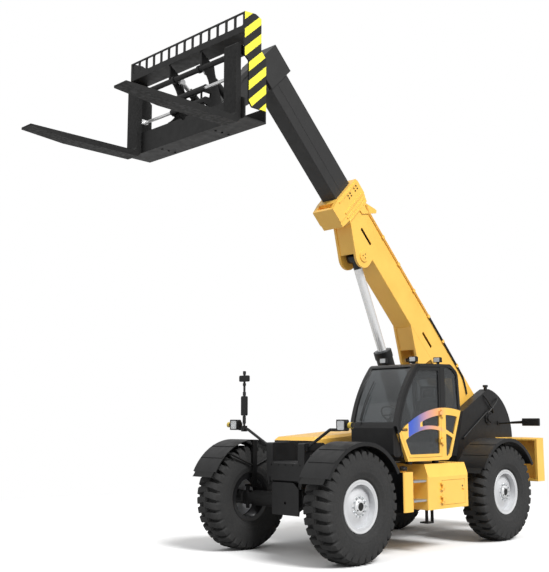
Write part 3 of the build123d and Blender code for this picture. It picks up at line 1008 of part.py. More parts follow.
COLLAR_RIB = 15.0
COLLAR_HEAD_D = BASE_LENGTH + 150
BASE_CORNER = 20.0
LIFT_PIN_X, _, LIFT_PIN_Z = boom_point(LIFT_PIN_D, LIFT_PIN_N)
with BuildPart() as boom_base:
    boom_tube(-BASE_TAIL, BASE_LENGTH + 20, BASE_WIDTH, BASE_HEIGHT, BASE_CORNER)
    for tail_side in (-1, 1):
        plate(BOOM_VIEW, [(-BASE_TAIL - 1, tail_side * 120), (-BASE_TAIL - 1, tail_side * (HALF_BASE + 1)),
                          (-BASE_TAIL + 150, tail_side * (HALF_BASE + 1))],
              -BASE_WIDTH / 2 - 1, BASE_WIDTH / 2 + 1, mode=Mode.SUBTRACT)
    collar_half = BASE_WIDTH / 2 + COLLAR_GROWTH
    collar_neck = [
        (BASE_LENGTH, -300), (BASE_LENGTH + 40, -300), (BASE_LENGTH + 60, -COLLAR_BOTTOM),
        (COLLAR_FRONT_D - 30, -COLLAR_BOTTOM), (COLLAR_FRONT_D - 30, COLLAR_TOP), (BASE_LENGTH + 130, COLLAR_TOP),
        (BASE_LENGTH, COLLAR_TOP - 46),
    ]
    plate(BOOM_VIEW, collar_neck, -BASE_WIDTH / 2 - COLLAR_RIB, BASE_WIDTH / 2 + COLLAR_RIB)
    collar_head = [
        (COLLAR_HEAD_D, -COLLAR_BOTTOM), (COLLAR_FRONT_D - 30, -COLLAR_BOTTOM), (COLLAR_FRONT_D, -300),
        (COLLAR_FRONT_D, COLLAR_TOP - 26), (COLLAR_FRONT_D - 60, COLLAR_TOP), (COLLAR_HEAD_D, COLLAR_TOP),
    ]
    plate(BOOM_VIEW, collar_head, -collar_half, collar_half, 20)
    for rib_d, rib_y in ((BASE_LENGTH + 20, collar_half - COLLAR_RIB), (BASE_LENGTH + 85, collar_half - COLLAR_RIB),
                         (COLLAR_HEAD_D + 30, collar_half), (COLLAR_FRONT_D - 60, collar_half)):
        both_sides(BOOM_VIEW, [(rib_d, -300), (rib_d + 25, -300), (rib_d + 25, COLLAR_TOP - 50), (rib_d, COLLAR_TOP - 50)],
                   rib_y - 1, rib_y + COLLAR_RIB)
    boom_tube(COLLAR_FRONT_D - 120, COLLAR_FRONT_D + 10, 320, 110, centre_n=-HALF_BASE - 120, mode=Mode.SUBTRACT)
    tongue = [
        (BASE_LENGTH + 1, 60), (BASE_LENGTH - 84, 78), (BASE_LENGTH - 290, 380),
        (BASE_LENGTH - 262, 424), (BASE_LENGTH - 220, 410), (BASE_LENGTH + 1, 280),
    ]
    both_sides(BOOM_VIEW, tongue, BASE_WIDTH / 2 - 2, BASE_WIDTH / 2 + 18)
    lift_root = [(LIFT_PIN_D - 190, -HALF_BASE + 5), (LIFT_PIN_D + 600, -HALF_BASE + 5), (LIFT_PIN_D + 200, -HALF_BASE - 30)]
    level_root = [(LEVEL_PIN_D - 200, -HALF_BASE + 5), (LEVEL_PIN_D + 620, -HALF_BASE + 5), (LEVEL_PIN_D, -HALF_BASE - 30)]
    lug_y = (BASE_WIDTH / 2 - LUG_PLATE, BASE_WIDTH / 2)
    lug_plates(BOOM_VIEW, (LIFT_PIN_D, LIFT_PIN_N), LIFT_LUG_RADIUS, lift_root, *lug_y)
    lug_plates(BOOM_VIEW, (LEVEL_PIN_D, LEVEL_PIN_N), LEVEL_LUG_RADIUS, level_root, *lug_y)
    lift_apron = [
        (LIFT_PIN_D + 150, LIFT_PIN_N - 126), (LIFT_PIN_D + 559, LIFT_PIN_N + 130),
        (LIFT_PIN_D + 552, LIFT_PIN_N + 140), (LIFT_PIN_D + 143, LIFT_PIN_N - 116),
    ]
    level_apron = [
        (LEVEL_PIN_D + 220, LEVEL_PIN_N + 14), (LEVEL_PIN_D + 578, LEVEL_PIN_N + 215),
        (LEVEL_PIN_D + 572, LEVEL_PIN_N + 225), (LEVEL_PIN_D + 214, LEVEL_PIN_N + 24),
    ]
    for apron in (lift_apron, level_apron):
        plate(BOOM_VIEW, apron, -lug_y[0] - 2, lug_y[0] + 2)
    cross_bar(PIVOT_X, PIVOT_Z, PIVOT_BOSS_RADIUS, -CHANNEL_HALF + 8, CHANNEL_HALF - 8)
    cross_bar(LIFT_PIN_X, LIFT_PIN_Z, LIFT_PIN_RADIUS, -BASE_WIDTH / 2 - 20, BASE_WIDTH / 2 + 20)
    for side in (-1, 1):
        cross_bar(LIFT_PIN_X, LIFT_PIN_Z, LIFT_PIN_RADIUS + 40, side * BASE_WIDTH / 2, side * (BASE_WIDTH / 2 + 16))
    boom_tube(170, COLLAR_FRONT_D - 130, BASE_WIDTH - 2 * BASE_WALL, BASE_HEIGHT - 2 * BASE_WALL, mode=Mode.SUBTRACT)
    boom_tube(COLLAR_FRONT_D - 140, COLLAR_FRONT_D + 10, INNER_WIDTH + 2 * PAD_GAP, INNER_HEIGHT + 2 * PAD_GAP,
              mode=Mode.SUBTRACT)
    with BuildSketch(BOOM_VIEW) as hand_holes:
        for hole_d, hole_n in ((LIFT_PIN_D + 192, -118), (LEVEL_PIN_D + 117, -105)):
            with Locations((hole_d, hole_n)):
                SlotOverall(360, 54)
    extrude(hand_holes.sketch.moved(Location((0, BASE_WIDTH / 2 + 1, 0))), amount=BASE_WIDTH + 2, mode=Mode.SUBTRACT)
    cross_bar(PIVOT_X, PIVOT_Z, PIVOT_PIN_RADIUS + RUNNING_FIT, -CHANNEL_HALF, CHANNEL_HALF, Mode.SUBTRACT)
finish(boom_base.part, "boom_base")

with BuildPart() as boom_inner:
    boom_tube(INNER_TAIL_D, HEAD_END_D, INNER_WIDTH, INNER_HEIGHT, 16)
    boom_tube(HEAD_STEP_D, HEAD_END_D, INNER_WIDTH + 2 * HEAD_GROWTH, INNER_HEIGHT + HEAD_RISE, 12, HEAD_RISE / 2)
    with BuildSketch(BOOM_VIEW) as gooseneck:
        with Locations((NOSE_D, NOSE_N)):
            Circle(NOSE_EYE_RADIUS)
        with BuildLine():
            Polyline((HEAD_STEP_D, -HALF_INNER + 5), (HEAD_STEP_D + 40, NOSE_N / 2), (HEAD_END_D, NOSE_N / 2),
                     (HEAD_END_D, -HALF_INNER + 5), close=True)
        make_face()
        make_hull()
    extrude(gooseneck.sketch.moved(Location((0, NOSE_HALF, 0))), amount=2 * NOSE_HALF)
    recess = [
        (HEAD_STEP_D + 90, -HALF_INNER - 90), (HEAD_STEP_D + 110, NOSE_N / 2), (NOSE_D - 70, NOSE_N + 220),
        (NOSE_D + 80, NOSE_N + 220), (HEAD_END_D - 60, NOSE_N / 2), (HEAD_END_D - 60, -HALF_INNER - 90),
    ]
    both_sides(BOOM_VIEW, recess, NOSE_HALF - 45, NOSE_HALF + 1, 30, Mode.SUBTRACT)
    boom_tube(INNER_TAIL_D - 1, HEAD_STEP_D - 20, INNER_WIDTH - 2 * INNER_WALL, INNER_HEIGHT - 2 * INNER_WALL,
              mode=Mode.SUBTRACT)
    cross_bar(HEAD_PIN_X, HEAD_PIN_Z, NOSE_PIN_RADIUS + RUNNING_FIT, -NOSE_HALF - 1, NOSE_HALF + 1, Mode.SUBTRACT)
finish(boom_inner.part, "boom_inner")


# ---------------------------------------------------------------- boom cylinders
LIFT_FOOT = Vector(PIVOT_X + LIFT_FOOT_AHEAD, 0, PIVOT_Z - LIFT_FOOT_DROP)
LEVEL_FOOT = Vector(PIVOT_X + LEVEL_FOOT_AHEAD, 0, PIVOT_Z - LEVEL_FOOT_DROP)


def barrel_with_gland(foot, run, length, radius, rod_radius, foot_radius):
    """Cylinder barrel from its foot eye to the gland ring, bored for its rod."""
    rod_between(foot + run * foot_radius * 0.8, foot + run * length, radius)
    rod_between(foot + run * (length - 0.8 * radius), foot + run * (length + 5), radius + 12)
    rod_between(foot + run * foot_radius * 1.3, foot + run * (length + 10), rod_radius + RUNNING_FIT, Mode.SUBTRACT)


lift_eye = Vector(*boom_point(LIFT_PIN_D, LIFT_PIN_N))
lift_run = (lift_eye - LIFT_FOOT).normalized()
lift_tail = LIFT_BARREL_LENGTH - LIFT_ROD_INSIDE
with BuildPart() as lift_barrel:
    cross_bar(LIFT_FOOT.X, LIFT_FOOT.Z, LIFT_PIN_RADIUS * 1.7, -LIFT_EYE_HALF, LIFT_EYE_HALF)
    barrel_with_gland(LIFT_FOOT, lift_run, LIFT_BARREL_LENGTH, LIFT_BARREL_RADIUS, LIFT_ROD_RADIUS, LIFT_PIN_RADIUS * 1.7)
    cross_bar(LIFT_FOOT.X, LIFT_FOOT.Z, LIFT_PIN_RADIUS, -FOOT_LUG_Y + 10, FOOT_LUG_Y - 10)
finish(lift_barrel.part, "lift_barrel")

with BuildPart() as lift_rod:
    rod_between(LIFT_FOOT + lift_run * lift_tail, lift_eye - lift_run * LIFT_PIN_RADIUS, LIFT_ROD_RADIUS)
    cross_bar(lift_eye.X, lift_eye.Z, LIFT_PIN_RADIUS * 1.6, -LIFT_EYE_HALF, LIFT_EYE_HALF)
    cross_bar(lift_eye.X, lift_eye.Z, LIFT_PIN_RADIUS + RUNNING_FIT, -LIFT_EYE_HALF - 1, LIFT_EYE_HALF + 1, Mode.SUBTRACT)
finish(lift_rod.part, "lift_rod")

level_eye = Vector(*boom_point(LEVEL_PIN_D, LEVEL_PIN_N))
level_run = (level_eye - LEVEL_FOOT).normalized()
level_tail = LEVEL_BARREL_LENGTH - LEVEL_ROD_INSIDE
with BuildPart() as levelling_barrel:
    cross_bar(LEVEL_FOOT.X, LEVEL_FOOT.Z, LEVEL_PIN_RADIUS * 1.7, -LEVEL_EYE_HALF, LEVEL_EYE_HALF)
    barrel_with_gland(LEVEL_FOOT, level_run, LEVEL_BARREL_LENGTH, LEVEL_BARREL_RADIUS, LEVEL_ROD_RADIUS,
                      LEVEL_PIN_RADIUS * 1.7)
    cross_bar(LEVEL_FOOT.X, LEVEL_FOOT.Z, LEVEL_PIN_RADIUS + RUNNING_FIT, -LEVEL_EYE_HALF - 1, LEVEL_EYE_HALF + 1,
              Mode.SUBTRACT)
finish(levelling_barrel.part, "levelling_barrel")

with BuildPart() as levelling_rod:
    rod_between(LEVEL_FOOT + level_run * level_tail, level_eye - level_run * LEVEL_PIN_RADIUS, LEVEL_ROD_RADIUS)
    cross_bar(level_eye.X, level_eye.Z, LEVEL_PIN_RADIUS * 1.6, -LEVEL_EYE_HALF, LEVEL_EYE_HALF)
    cross_bar(level_eye.X, level_eye.Z, LEVEL_PIN_RADIUS, -BASE_WIDTH / 2 + LUG_PLATE + 6, BASE_WIDTH / 2 - LUG_PLATE - 6)
finish(levelling_rod.part, "levelling_rod")


# ---------------------------------------------------------------- tilt head and its cylinders
TILT_FOOT = Vector(HEAD_PIN_X + TILT_FOOT_AHEAD, 0, HEAD_PIN_Z - TILT_FOOT_DROP)
TILT_EYE = Vector(HEAD_PIN_X + TILT_EYE_AHEAD, 0, HEAD_PIN_Z + TILT_EYE_RISE)
TORQUE_TUBE = (TILT_X - 20, TILT_Z + 180)
HEAD_TUBE_HALF = 330.0
with BuildPart() as tilt_head:
    for plate_y in (-HEAD_PLATE_Y - HEAD_PLATE, HEAD_PLATE_Y):
        with BuildSketch(SIDE_VIEW) as cheek_plate:
            for centre, radius in (((HEAD_PIN_X, HEAD_PIN_Z), 110), ((TILT_X, TILT_Z), 100), (TORQUE_TUBE, 90)):
                with Locations(centre):
                    Circle(radius)
            make_hull()
        across_y(cheek_plate.sketch, plate_y, plate_y + HEAD_PLATE)
    for foot_y in (-HEAD_PLATE_Y - HEAD_PLATE - 40, HEAD_PLATE_Y + HEAD_PLATE + 15):
        with BuildSketch(SIDE_VIEW) as foot_plate:
            with Locations((TILT_FOOT.X, TILT_FOOT.Z)):
                Circle(2 * TILT_FOOT_RADIUS)
            with Locations(TORQUE_TUBE):
                Circle(75)
            make_hull()
        across_y(foot_plate.sketch, foot_y, foot_y + 25)
    cross_bar(HEAD_PIN_X, HEAD_PIN_Z, NOSE_PIN_RADIUS, -HEAD_PLATE_Y - HEAD_PLATE - 12, HEAD_PLATE_Y + HEAD_PLATE + 12)
    cross_bar(*TORQUE_TUBE, 60, -HEAD_TUBE_HALF, HEAD_TUBE_HALF)
    cross_bar(TILT_X, TILT_Z, 2 * TILT_PIN_RADIUS, -HEAD_TUBE_HALF, HEAD_TUBE_HALF)
    for side in (-1, 1):
        cross_bar(TILT_FOOT.X, TILT_FOOT.Z, TILT_FOOT_RADIUS, side * (HEAD_PLATE_Y + HEAD_PLATE + 15),
                  side * (TILT_CYLINDER_Y + 40))
    cross_bar(TILT_X, TILT_Z, TILT_PIN_RADIUS + RUNNING_FIT, -HEAD_TUBE_HALF - 10, HEAD_TUBE_HALF + 10, Mode.SUBTRACT)
finish(tilt_head.part, "tilt_head")

tilt_run = (TILT_EYE - TILT_FOOT).normalized()
tilt_tail = TILT_BARREL_LENGTH - TILT_ROD_INSIDE
with BuildPart() as tilt_barrel:
    for side in (-1, 1):
        shift = Vector(0, side * TILT_CYLINDER_Y, 0)
        rod_between(TILT_FOOT + shift + tilt_run * 35, TILT_FOOT + shift + tilt_run * TILT_BARREL_LENGTH,
                    TILT_BARREL_RADIUS)
        cross_bar(TILT_FOOT.X, TILT_FOOT.Z, 50, side * (TILT_CYLINDER_Y - 38), side * (TILT_CYLINDER_Y + 38))
        rod_between(TILT_FOOT + shift + tilt_run * 60, TILT_FOOT + shift + tilt_run * (TILT_BARREL_LENGTH + 5),
                    TILT_ROD_RADIUS + RUNNING_FIT, Mode.SUBTRACT)
        cross_bar(TILT_FOOT.X, TILT_FOOT.Z, TILT_FOOT_RADIUS + RUNNING_FIT, side * (TILT_CYLINDER_Y - 60),
                  side * (TILT_CYLINDER_Y + 60), Mode.SUBTRACT)
finish(tilt_barrel.part, "tilt_barrel")

with BuildPart() as tilt_rod:
    for side in (-1, 1):
        shift = Vector(0, side * TILT_CYLINDER_Y, 0)
        rod_between(TILT_FOOT + shift + tilt_run * tilt_tail, TILT_EYE + shift - tilt_run * 20, TILT_ROD_RADIUS)
        cross_bar(TILT_EYE.X, TILT_EYE.Z, 45, side * (TILT_CYLINDER_Y - 30), side * (TILT_CYLINDER_Y + 30))
finish(tilt_rod.part, "tilt_rod")


# ---------------------------------------------------------------- carriage and forks
HALF_CARRIAGE = CARRIAGE_WIDTH / 2
FACE_BACK_X = FACE_X - CARRIAGE_SHEET
BEAM_BOTTOM_Z = FORK_BOTTOM_Z + 60
BEAM_TOP_Z = BEAM_BOTTOM_Z + 315
PLATE_BOTTOM_Z = CARRIAGE_TOP_Z - 283
SLOT_PITCH = (CARRIAGE_WIDTH - 2 * SIDE_PLATE) / SLOT_COUNT
POSITIONER_X = FACE_X - POSITIONER_BACK
POSITIONERS = (
    # side of its fork, height of its rod
    (1, HEAD_PIN_Z + POSITIONER_RISE - 10),
    (-1, HEAD_PIN_Z - POSITIONER_DROP - 5),
)
POSITIONER_RADIUS = 45.0
POSITIONER_ROD_RADIUS = 24.0
HANGER_END = HANGER_Y + HANGER_PLATE
HANGER_FRONT_X = FACE_X - 207
with BuildPart() as carriage:
    side_plate = [
        (FACE_X, CARRIAGE_TOP_Z), (FACE_X - 202, CARRIAGE_TOP_Z + 20), (FACE_X - 307, CARRIAGE_TOP_Z - 20),
        (FACE_X - 307, HEAD_PIN_Z + 380), (FACE_X - 397, HEAD_PIN_Z + 290), (FACE_X - 397, HEAD_PIN_Z - 420),
        (FACE_X - 372, HEAD_PIN_Z - 460), (FACE_X - 137, HEAD_PIN_Z - 460), (FACE_X - 77, HEAD_PIN_Z - 380),
        (FACE_X - 77, HEAD_PIN_Z + 180), (FACE_X, HEAD_PIN_Z + 240),
    ]
    both_sides(SIDE_VIEW, side_plate, HALF_CARRIAGE - SIDE_PLATE, HALF_CARRIAGE, 15)
    block((FACE_BACK_X, FACE_X), (-HALF_CARRIAGE, HALF_CARRIAGE), (PLATE_BOTTOM_Z, CARRIAGE_TOP_Z))
    with BuildSketch(Plane.YZ.offset(FACE_BACK_X - 1)):
        with Locations((0, CARRIAGE_TOP_Z - 105)):
            with GridLocations(SLOT_PITCH, 0, SLOT_COUNT, 1):
                RectangleRounded(SLOT_PITCH - SLOT_BAR, SLOT_HEIGHT, 20)
    extrude(amount=CARRIAGE_SHEET + 2, mode=Mode.SUBTRACT)
    inner_half = HALF_CARRIAGE - 1
    block((FACE_X - 310, FACE_BACK_X), (-inner_half, inner_half), (PLATE_BOTTOM_Z, PLATE_BOTTOM_Z + 20))
    block((FACE_X - 397, FACE_X), (-inner_half, inner_half), (BEAM_BOTTOM_Z, BEAM_BOTTOM_Z + 20))
    with BuildSketch(Plane.YZ.offset(FACE_BACK_X)):
        with BuildLine():
            Polyline(
                (-inner_half, BEAM_BOTTOM_Z), (inner_half, BEAM_BOTTOM_Z), (inner_half, BEAM_TOP_Z - 45),
                (inner_half - 90, BEAM_TOP_Z), (60, BEAM_TOP_Z), (30, BEAM_TOP_Z - 40), (-30, BEAM_TOP_Z - 40),
                (-60, BEAM_TOP_Z), (-inner_half + 90, BEAM_TOP_Z), (-inner_half, BEAM_TOP_Z - 45), close=True,
            )
        make_face()
    extrude(amount=CARRIAGE_SHEET)
    for side in (-1, 1):
        block((FACE_X - 397, FACE_X - 377), (side * (HANGER_END - 5), side * inner_half),
              (BEAM_BOTTOM_Z, BEAM_BOTTOM_Z + 215))
    cross_bar(SHAFT_X, SHAFT_Z, SHAFT_RADIUS, -inner_half, inner_half)
    for plate_y in (-HANGER_END, HANGER_Y):
        with BuildSketch(SIDE_VIEW) as hanger:
            with BuildLine():
                Polyline(
                    (FACE_BACK_X, BEAM_TOP_Z + 20), (FACE_BACK_X, BEAM_BOTTOM_Z + 20), (TILT_X + 60, BEAM_BOTTOM_Z + 20),
                    (TILT_X - 20, TILT_Z - 95), (TILT_X - 70, TILT_Z - 60), (TILT_X - 70, TILT_Z + 60),
                    (TILT_EYE.X - 80, TILT_EYE.Z - 40), (TILT_EYE.X - 60, TILT_EYE.Z + 70),
                    (FACE_BACK_X, PLATE_BOTTOM_Z), (FACE_BACK_X, SHAFT_Z + 20),
                )
                ThreePointArc((FACE_BACK_X, SHAFT_Z + 20), (HANGER_FRONT_X, HEAD_PIN_Z + 20), (FACE_BACK_X, BEAM_TOP_Z + 20))
            make_face()
        across_y(hanger.sketch, plate_y, plate_y + HANGER_PLATE)
        for _, rod_z in POSITIONERS:
            block((HANGER_FRONT_X - 25, POSITIONER_X), (plate_y, plate_y + HANGER_PLATE),
                  (rod_z - POSITIONER_RADIUS - 10, rod_z + POSITIONER_RADIUS + 10))
    for _, rod_z in POSITIONERS:
        cross_bar(POSITIONER_X, rod_z, POSITIONER_RADIUS, -HANGER_END - 1, HANGER_END + 1, Mode.SUBTRACT)
    cross_bar(TILT_X, TILT_Z, TILT_PIN_RADIUS, -HANGER_END - 15, HANGER_END + 15)
finish(carriage.part, "carriage")

with BuildPart() as positioner_barrels:
    for side, rod_z in POSITIONERS:
        cross_bar(POSITIONER_X, rod_z, POSITIONER_RADIUS, -HANGER_END, HANGER_END)
        cross_bar(POSITIONER_X, rod_z, POSITIONER_ROD_RADIUS + RUNNING_FIT, side * (-HANGER_END + 30),
                  side * (HANGER_END + 1), Mode.SUBTRACT)
    for tie_y in (-HANGER_Y + 50, HANGER_Y - 50):
        block((POSITIONER_X - 12, POSITIONER_X + 12), (tie_y - 10, tie_y + 10),
              (POSITIONERS[1][1] + POSITIONER_RADIUS - 4, POSITIONERS[0][1] - POSITIONER_RADIUS + 4))
finish(positioner_barrels.part, "positioner_barrels")

ROD_EYE_Y = FORK_Y - FORK_WIDTH / 2 + 20
for name, (side, rod_z) in zip(("positioner_rod_left", "positioner_rod_right"), POSITIONERS):
    with BuildPart() as positioner_rod:
        cross_bar(POSITIONER_X, rod_z, POSITIONER_ROD_RADIUS, side * (HANGER_Y - 60), side * ROD_EYE_Y)
        block((POSITIONER_X - 30, FACE_X + FORK_GAP), (side * ROD_EYE_Y, side * (ROD_EYE_Y + 30)), (rod_z - 35, rod_z + 35))
    finish(positioner_rod.part, name)

SHANK_X = FACE_X + FORK_GAP
SHANK_TOP_Z = SHAFT_Z + 80
for name, side in (("fork_left", 1), ("fork_right", -1)):
    with BuildPart() as fork:
        with BuildSketch(SIDE_VIEW) as blade:
            with BuildLine():
                Polyline(
                    (SHANK_X, BEAM_BOTTOM_Z), (SHANK_X + 60, FORK_BOTTOM_Z),
                    (SHANK_X + 80 + FORK_LENGTH * 0.6, FORK_BOTTOM_Z),
                    (FACE_X + FORK_LENGTH, FORK_BOTTOM_Z + FORK_THICKNESS - 30),
                    (FACE_X + FORK_LENGTH, FORK_BOTTOM_Z + FORK_THICKNESS),
                    (SHANK_X + FORK_THICKNESS + 60, FORK_BOTTOM_Z + FORK_THICKNESS),
                )
                ThreePointArc((SHANK_X + FORK_THICKNESS + 60, FORK_BOTTOM_Z + FORK_THICKNESS),
                              (SHANK_X + FORK_THICKNESS + 17, FORK_BOTTOM_Z + FORK_THICKNESS + 17),
                              (SHANK_X + FORK_THICKNESS, FORK_BOTTOM_Z + FORK_THICKNESS + 60))
                Polyline((SHANK_X + FORK_THICKNESS, FORK_BOTTOM_Z + FORK_THICKNESS + 60),
                         (SHANK_X + FORK_THICKNESS, SHANK_TOP_Z - 30), (SHANK_X + FORK_THICKNESS - 30, SHANK_TOP_Z),
                         (SHANK_X, SHANK_TOP_Z), (SHANK_X, BEAM_BOTTOM_Z))
            make_face()
        y_low, y_high = side * FORK_Y - FORK_WIDTH / 2, side * FORK_Y + FORK_WIDTH / 2
        across_y(blade.sketch, y_low, y_high)
        with BuildSketch(SIDE_VIEW) as hook:
            with Locations((SHAFT_X, SHAFT_Z)):
                Circle(SHAFT_RADIUS + 30)
            with Locations((SHANK_X + 1, SHAFT_Z)):
                Rectangle(10, 2 * SHAFT_RADIUS + 60)
            make_hull()
        across_y(hook.sketch, y_low + 20, y_high - 20)
        cross_bar(SHAFT_X, SHAFT_Z, SHAFT_RADIUS + RUNNING_FIT, y_low - 5, y_high + 5, Mode.SUBTRACT)
    finish(fork.part, name)
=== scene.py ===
"""Finishes and fine detail of a heavy telehandler with a fork carriage.

The machine's frame, boom, axles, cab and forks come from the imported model.  This
script dresses each of them in its real finish, adds the fine detail that rides on
them, and sets a plain studio round the machine.  Lengths are metres.
"""

import logging
import math
from dataclasses import dataclass
from enum import Enum
from typing import Callable, Iterable, Sequence

import bmesh
import bpy
from mathutils import Matrix, Vector


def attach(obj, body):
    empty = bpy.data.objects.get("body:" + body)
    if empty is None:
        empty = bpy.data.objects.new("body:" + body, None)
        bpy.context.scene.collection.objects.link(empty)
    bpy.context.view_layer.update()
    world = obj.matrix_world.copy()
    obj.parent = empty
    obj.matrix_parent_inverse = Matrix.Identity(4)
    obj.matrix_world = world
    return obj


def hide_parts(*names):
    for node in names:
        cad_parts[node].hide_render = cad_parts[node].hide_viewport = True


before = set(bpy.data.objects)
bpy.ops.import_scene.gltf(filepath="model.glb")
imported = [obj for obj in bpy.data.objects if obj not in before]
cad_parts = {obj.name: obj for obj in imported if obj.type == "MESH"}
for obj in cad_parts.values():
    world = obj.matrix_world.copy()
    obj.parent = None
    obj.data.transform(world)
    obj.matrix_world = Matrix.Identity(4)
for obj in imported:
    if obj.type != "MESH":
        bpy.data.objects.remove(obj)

LOG = logging.getLogger("telehandler")
Corner = tuple[float, float, float]
Socket = bpy.types.NodeSocket
Tree = bpy.types.NodeTree

# ---------------------------------------------------------------- driving dimensions
# Directions of the machine, which faces +X with its left side at +Y, and its two sides.
ALONG: Corner = (1.0, 0.0, 0.0)
ACROSS: Corner = (0.0, 1.0, 0.0)
DOWN: Corner = (0.0, 0.0, -1.0)
SIDES = (-1, 1)
# Places of the axles.
AXLE_Z = 0.8075
FRONT_AXLE_X = 0.745
REAR_AXLE_X = -3.090
# x and z of the boom's pivot.
BOOM_PIVOT = (-4.023, 2.060)
# Foremost point and underside of the cab.
CAB_FRONT_X = -0.105
CAB_FLOOR_Z = 1.398
# Where the black front of the hood begins, and where black is painted on the front of the step box's tank as
# painted shade.
HOOD_FRONT_X = -0.1725
TANK_FRONT_X = -0.2430
# Fine bevel on small blocks, and the sides of a bolt head.
BEVEL = 0.003
HEXAGON = 6
# The black enamel that several finishes share.
SATIN_BLACK = "#0C0C0D"


# ---------------------------------------------------------------- small helpers
MATH = "ShaderNodeMath"
MIX = "ShaderNodeMix"
NOISE = "ShaderNodeTexNoise"
RANGE = "ShaderNodeMapRange"
SPLIT = "ShaderNodeSeparateXYZ"
VECTOR = "ShaderNodeVectorMath"
# A Mix node's sockets when it mixes colours: factor, the two colours, and the result.
FACTOR, UNDER, OVER, MIXED = 0, 6, 7, 2
WHITE = (1.0, 1.0, 1.0, 1.0)


def linear(hex_colour: str) -> tuple[float, float, float, float]:
    """Turn an sRGB hex colour into the linear colour a shader needs.

    Args:
        hex_colour: Six hex digits with a leading hash.

    Returns:
        Red, green and blue as linear light, with a full alpha.
    """
    values = [int(hex_colour[i:i + 2], 16) / 255 for i in (1, 3, 5)]
    red, green, blue = (v / 12.92 if v <= 0.04045 else ((v + 0.055) / 1.055) ** 2.4 for v in values)
    return red, green, blue, 1.0


def per_mm(size_mm: float) -> float:
    """Texture scale on Object coordinates that gives features of a size in millimetres."""
    return 1000.0 / size_mm


def add_node(tree: Tree, kind: str, inputs: dict | None = None, **settings) -> bpy.types.Node:
    """Add a node with its settings, values and links.

    Args:
        tree: Tree that gets the node.
        kind: The node's type name.
        inputs: Socket name or number to a value, to a socket that is linked to it, or to a node
            whose first output is linked to it.
        settings: Attributes of the node itself.

    Returns:
        The new node.
    """
    node = tree.nodes.new(kind)
    for key, value in settings.items():
        setattr(node, key, value)
    for key, value in (inputs or {}).items():
        source = value.outputs[0] if isinstance(value, bpy.types.Node) else value
        if isinstance(source, Socket):
            tree.links.new(source, node.inputs[key])
        else:
            node.inputs[key].default_value = source
    return node


# ---------------------------------------------------------------- finishes
@dataclass(frozen=True)
class Finish:
    """One real finish, built as a node material on Object coordinates.

    Attributes:
        name: What the finish is called in the workshop.
        colour: Main colour, sRGB hex.
        shade: Colour of its darker or dustier areas, sRGB hex.
        metallic: Metallic value of the surface.
        roughness: Lowest and highest roughness.
        patch_mm: Size of its slow colour changes.
        grain_mm: Size of its surface grain.
        grain_depth_mm: Height of its surface grain.
        coat: Weight of a clear coat over it.
        shade_amount: Share of the shade colour at most.
    """

    name: str
    colour: str
    shade: str
    metallic: float = 0.0
    roughness: tuple[float, float] = (0.35, 0.5)
    patch_mm: float = 600.0
    grain_mm: float = 12.0
    grain_depth_mm: float = 0.05
    coat: float = 0.0
    shade_amount: float = 0.5

    def base_colour(self, tree: Tree, place: Socket) -> Socket:
        """Colour of the surface: the main colour with patches of the shade.

        Args:
            tree: The material's node tree.
            place: Object coordinates.

        Returns:
            The colour socket.
        """
        patches = add_node(tree, NOISE, {"Vector": place, "Scale": per_mm(self.patch_mm), "Detail": 4.0,
                                         "Roughness": 0.6})
        amount = add_node(tree, RANGE, {"Value": patches, "From Min": 0.35, "From Max": 0.75, "To Min": 0.0,
                                        "To Max": self.shade_amount})
        colours = {FACTOR: amount, UNDER: linear(self.colour), OVER: linear(self.shade)}
        return add_node(tree, MIX, colours, data_type="RGBA").outputs[MIXED]

    def build(self) -> bpy.types.Material:
        """Make the material, or return it when it exists.

        Returns:
            The finished material.
        """
        known = bpy.data.materials.get(self.name)
        if known:
            return known
        material = bpy.data.materials.new(self.name)
        material.use_nodes = True
        tree = material.node_tree
        place = add_node(tree, "ShaderNodeTexCoord").outputs["Object"]
        # Gloss changes over patches a fifth the size of the colour's.
        wear = add_node(tree, NOISE, {"Vector": place, "Scale": per_mm(self.patch_mm / 5), "Detail": 3.0})
        low, high = self.roughness
        rough = add_node(tree, RANGE, {"Value": wear, "From Min": 0.3, "From Max": 0.7, "To Min": low,
                                       "To Max": high})
        grain = add_node(tree, NOISE, {"Vector": place, "Scale": per_mm(self.grain_mm), "Detail": 2.0})
        bump = add_node(tree, "ShaderNodeBump", {"Height": grain, "Strength": 0.6,
                                                 "Distance": self.grain_depth_mm / 1000})
        shader = tree.nodes["Principled BSDF"]
        shader.inputs["Metallic"].default_value = self.metallic
        shader.inputs["Coat Weight"].default_value = self.coat
        shader.inputs["Coat Roughness"].default_value = 0.12
        tree.links.new(self.base_colour(tree, place), shader.inputs["Base Color"])
        tree.links.new(rough.outputs[0], shader.inputs["Roughness"])
        tree.links.new(bump.outputs[0], shader.inputs["Normal"])
        self.adjust(tree, shader, place)
        return material

    def adjust(self, tree: Tree, shader: bpy.types.Node, place: Socket) -> None:
        """Hook for what one finish adds to the common build."""


@dataclass(frozen=True)
class ClearFinish(Finish):
    """Glass or plastic that lets light through.

    Attributes:
        transmission: Share of the light that passes.
        ior: Index of refraction.
    """

    transmission: float = 0.9
    ior: float = 1.5

    def adjust(self, tree: Tree, shader: bpy.types.Node, place: Socket) -> None:
        """Let the light through."""
        shader.inputs["Transmission Weight"].default_value = self.transmission
        shader.inputs["IOR"].default_value = self.ior


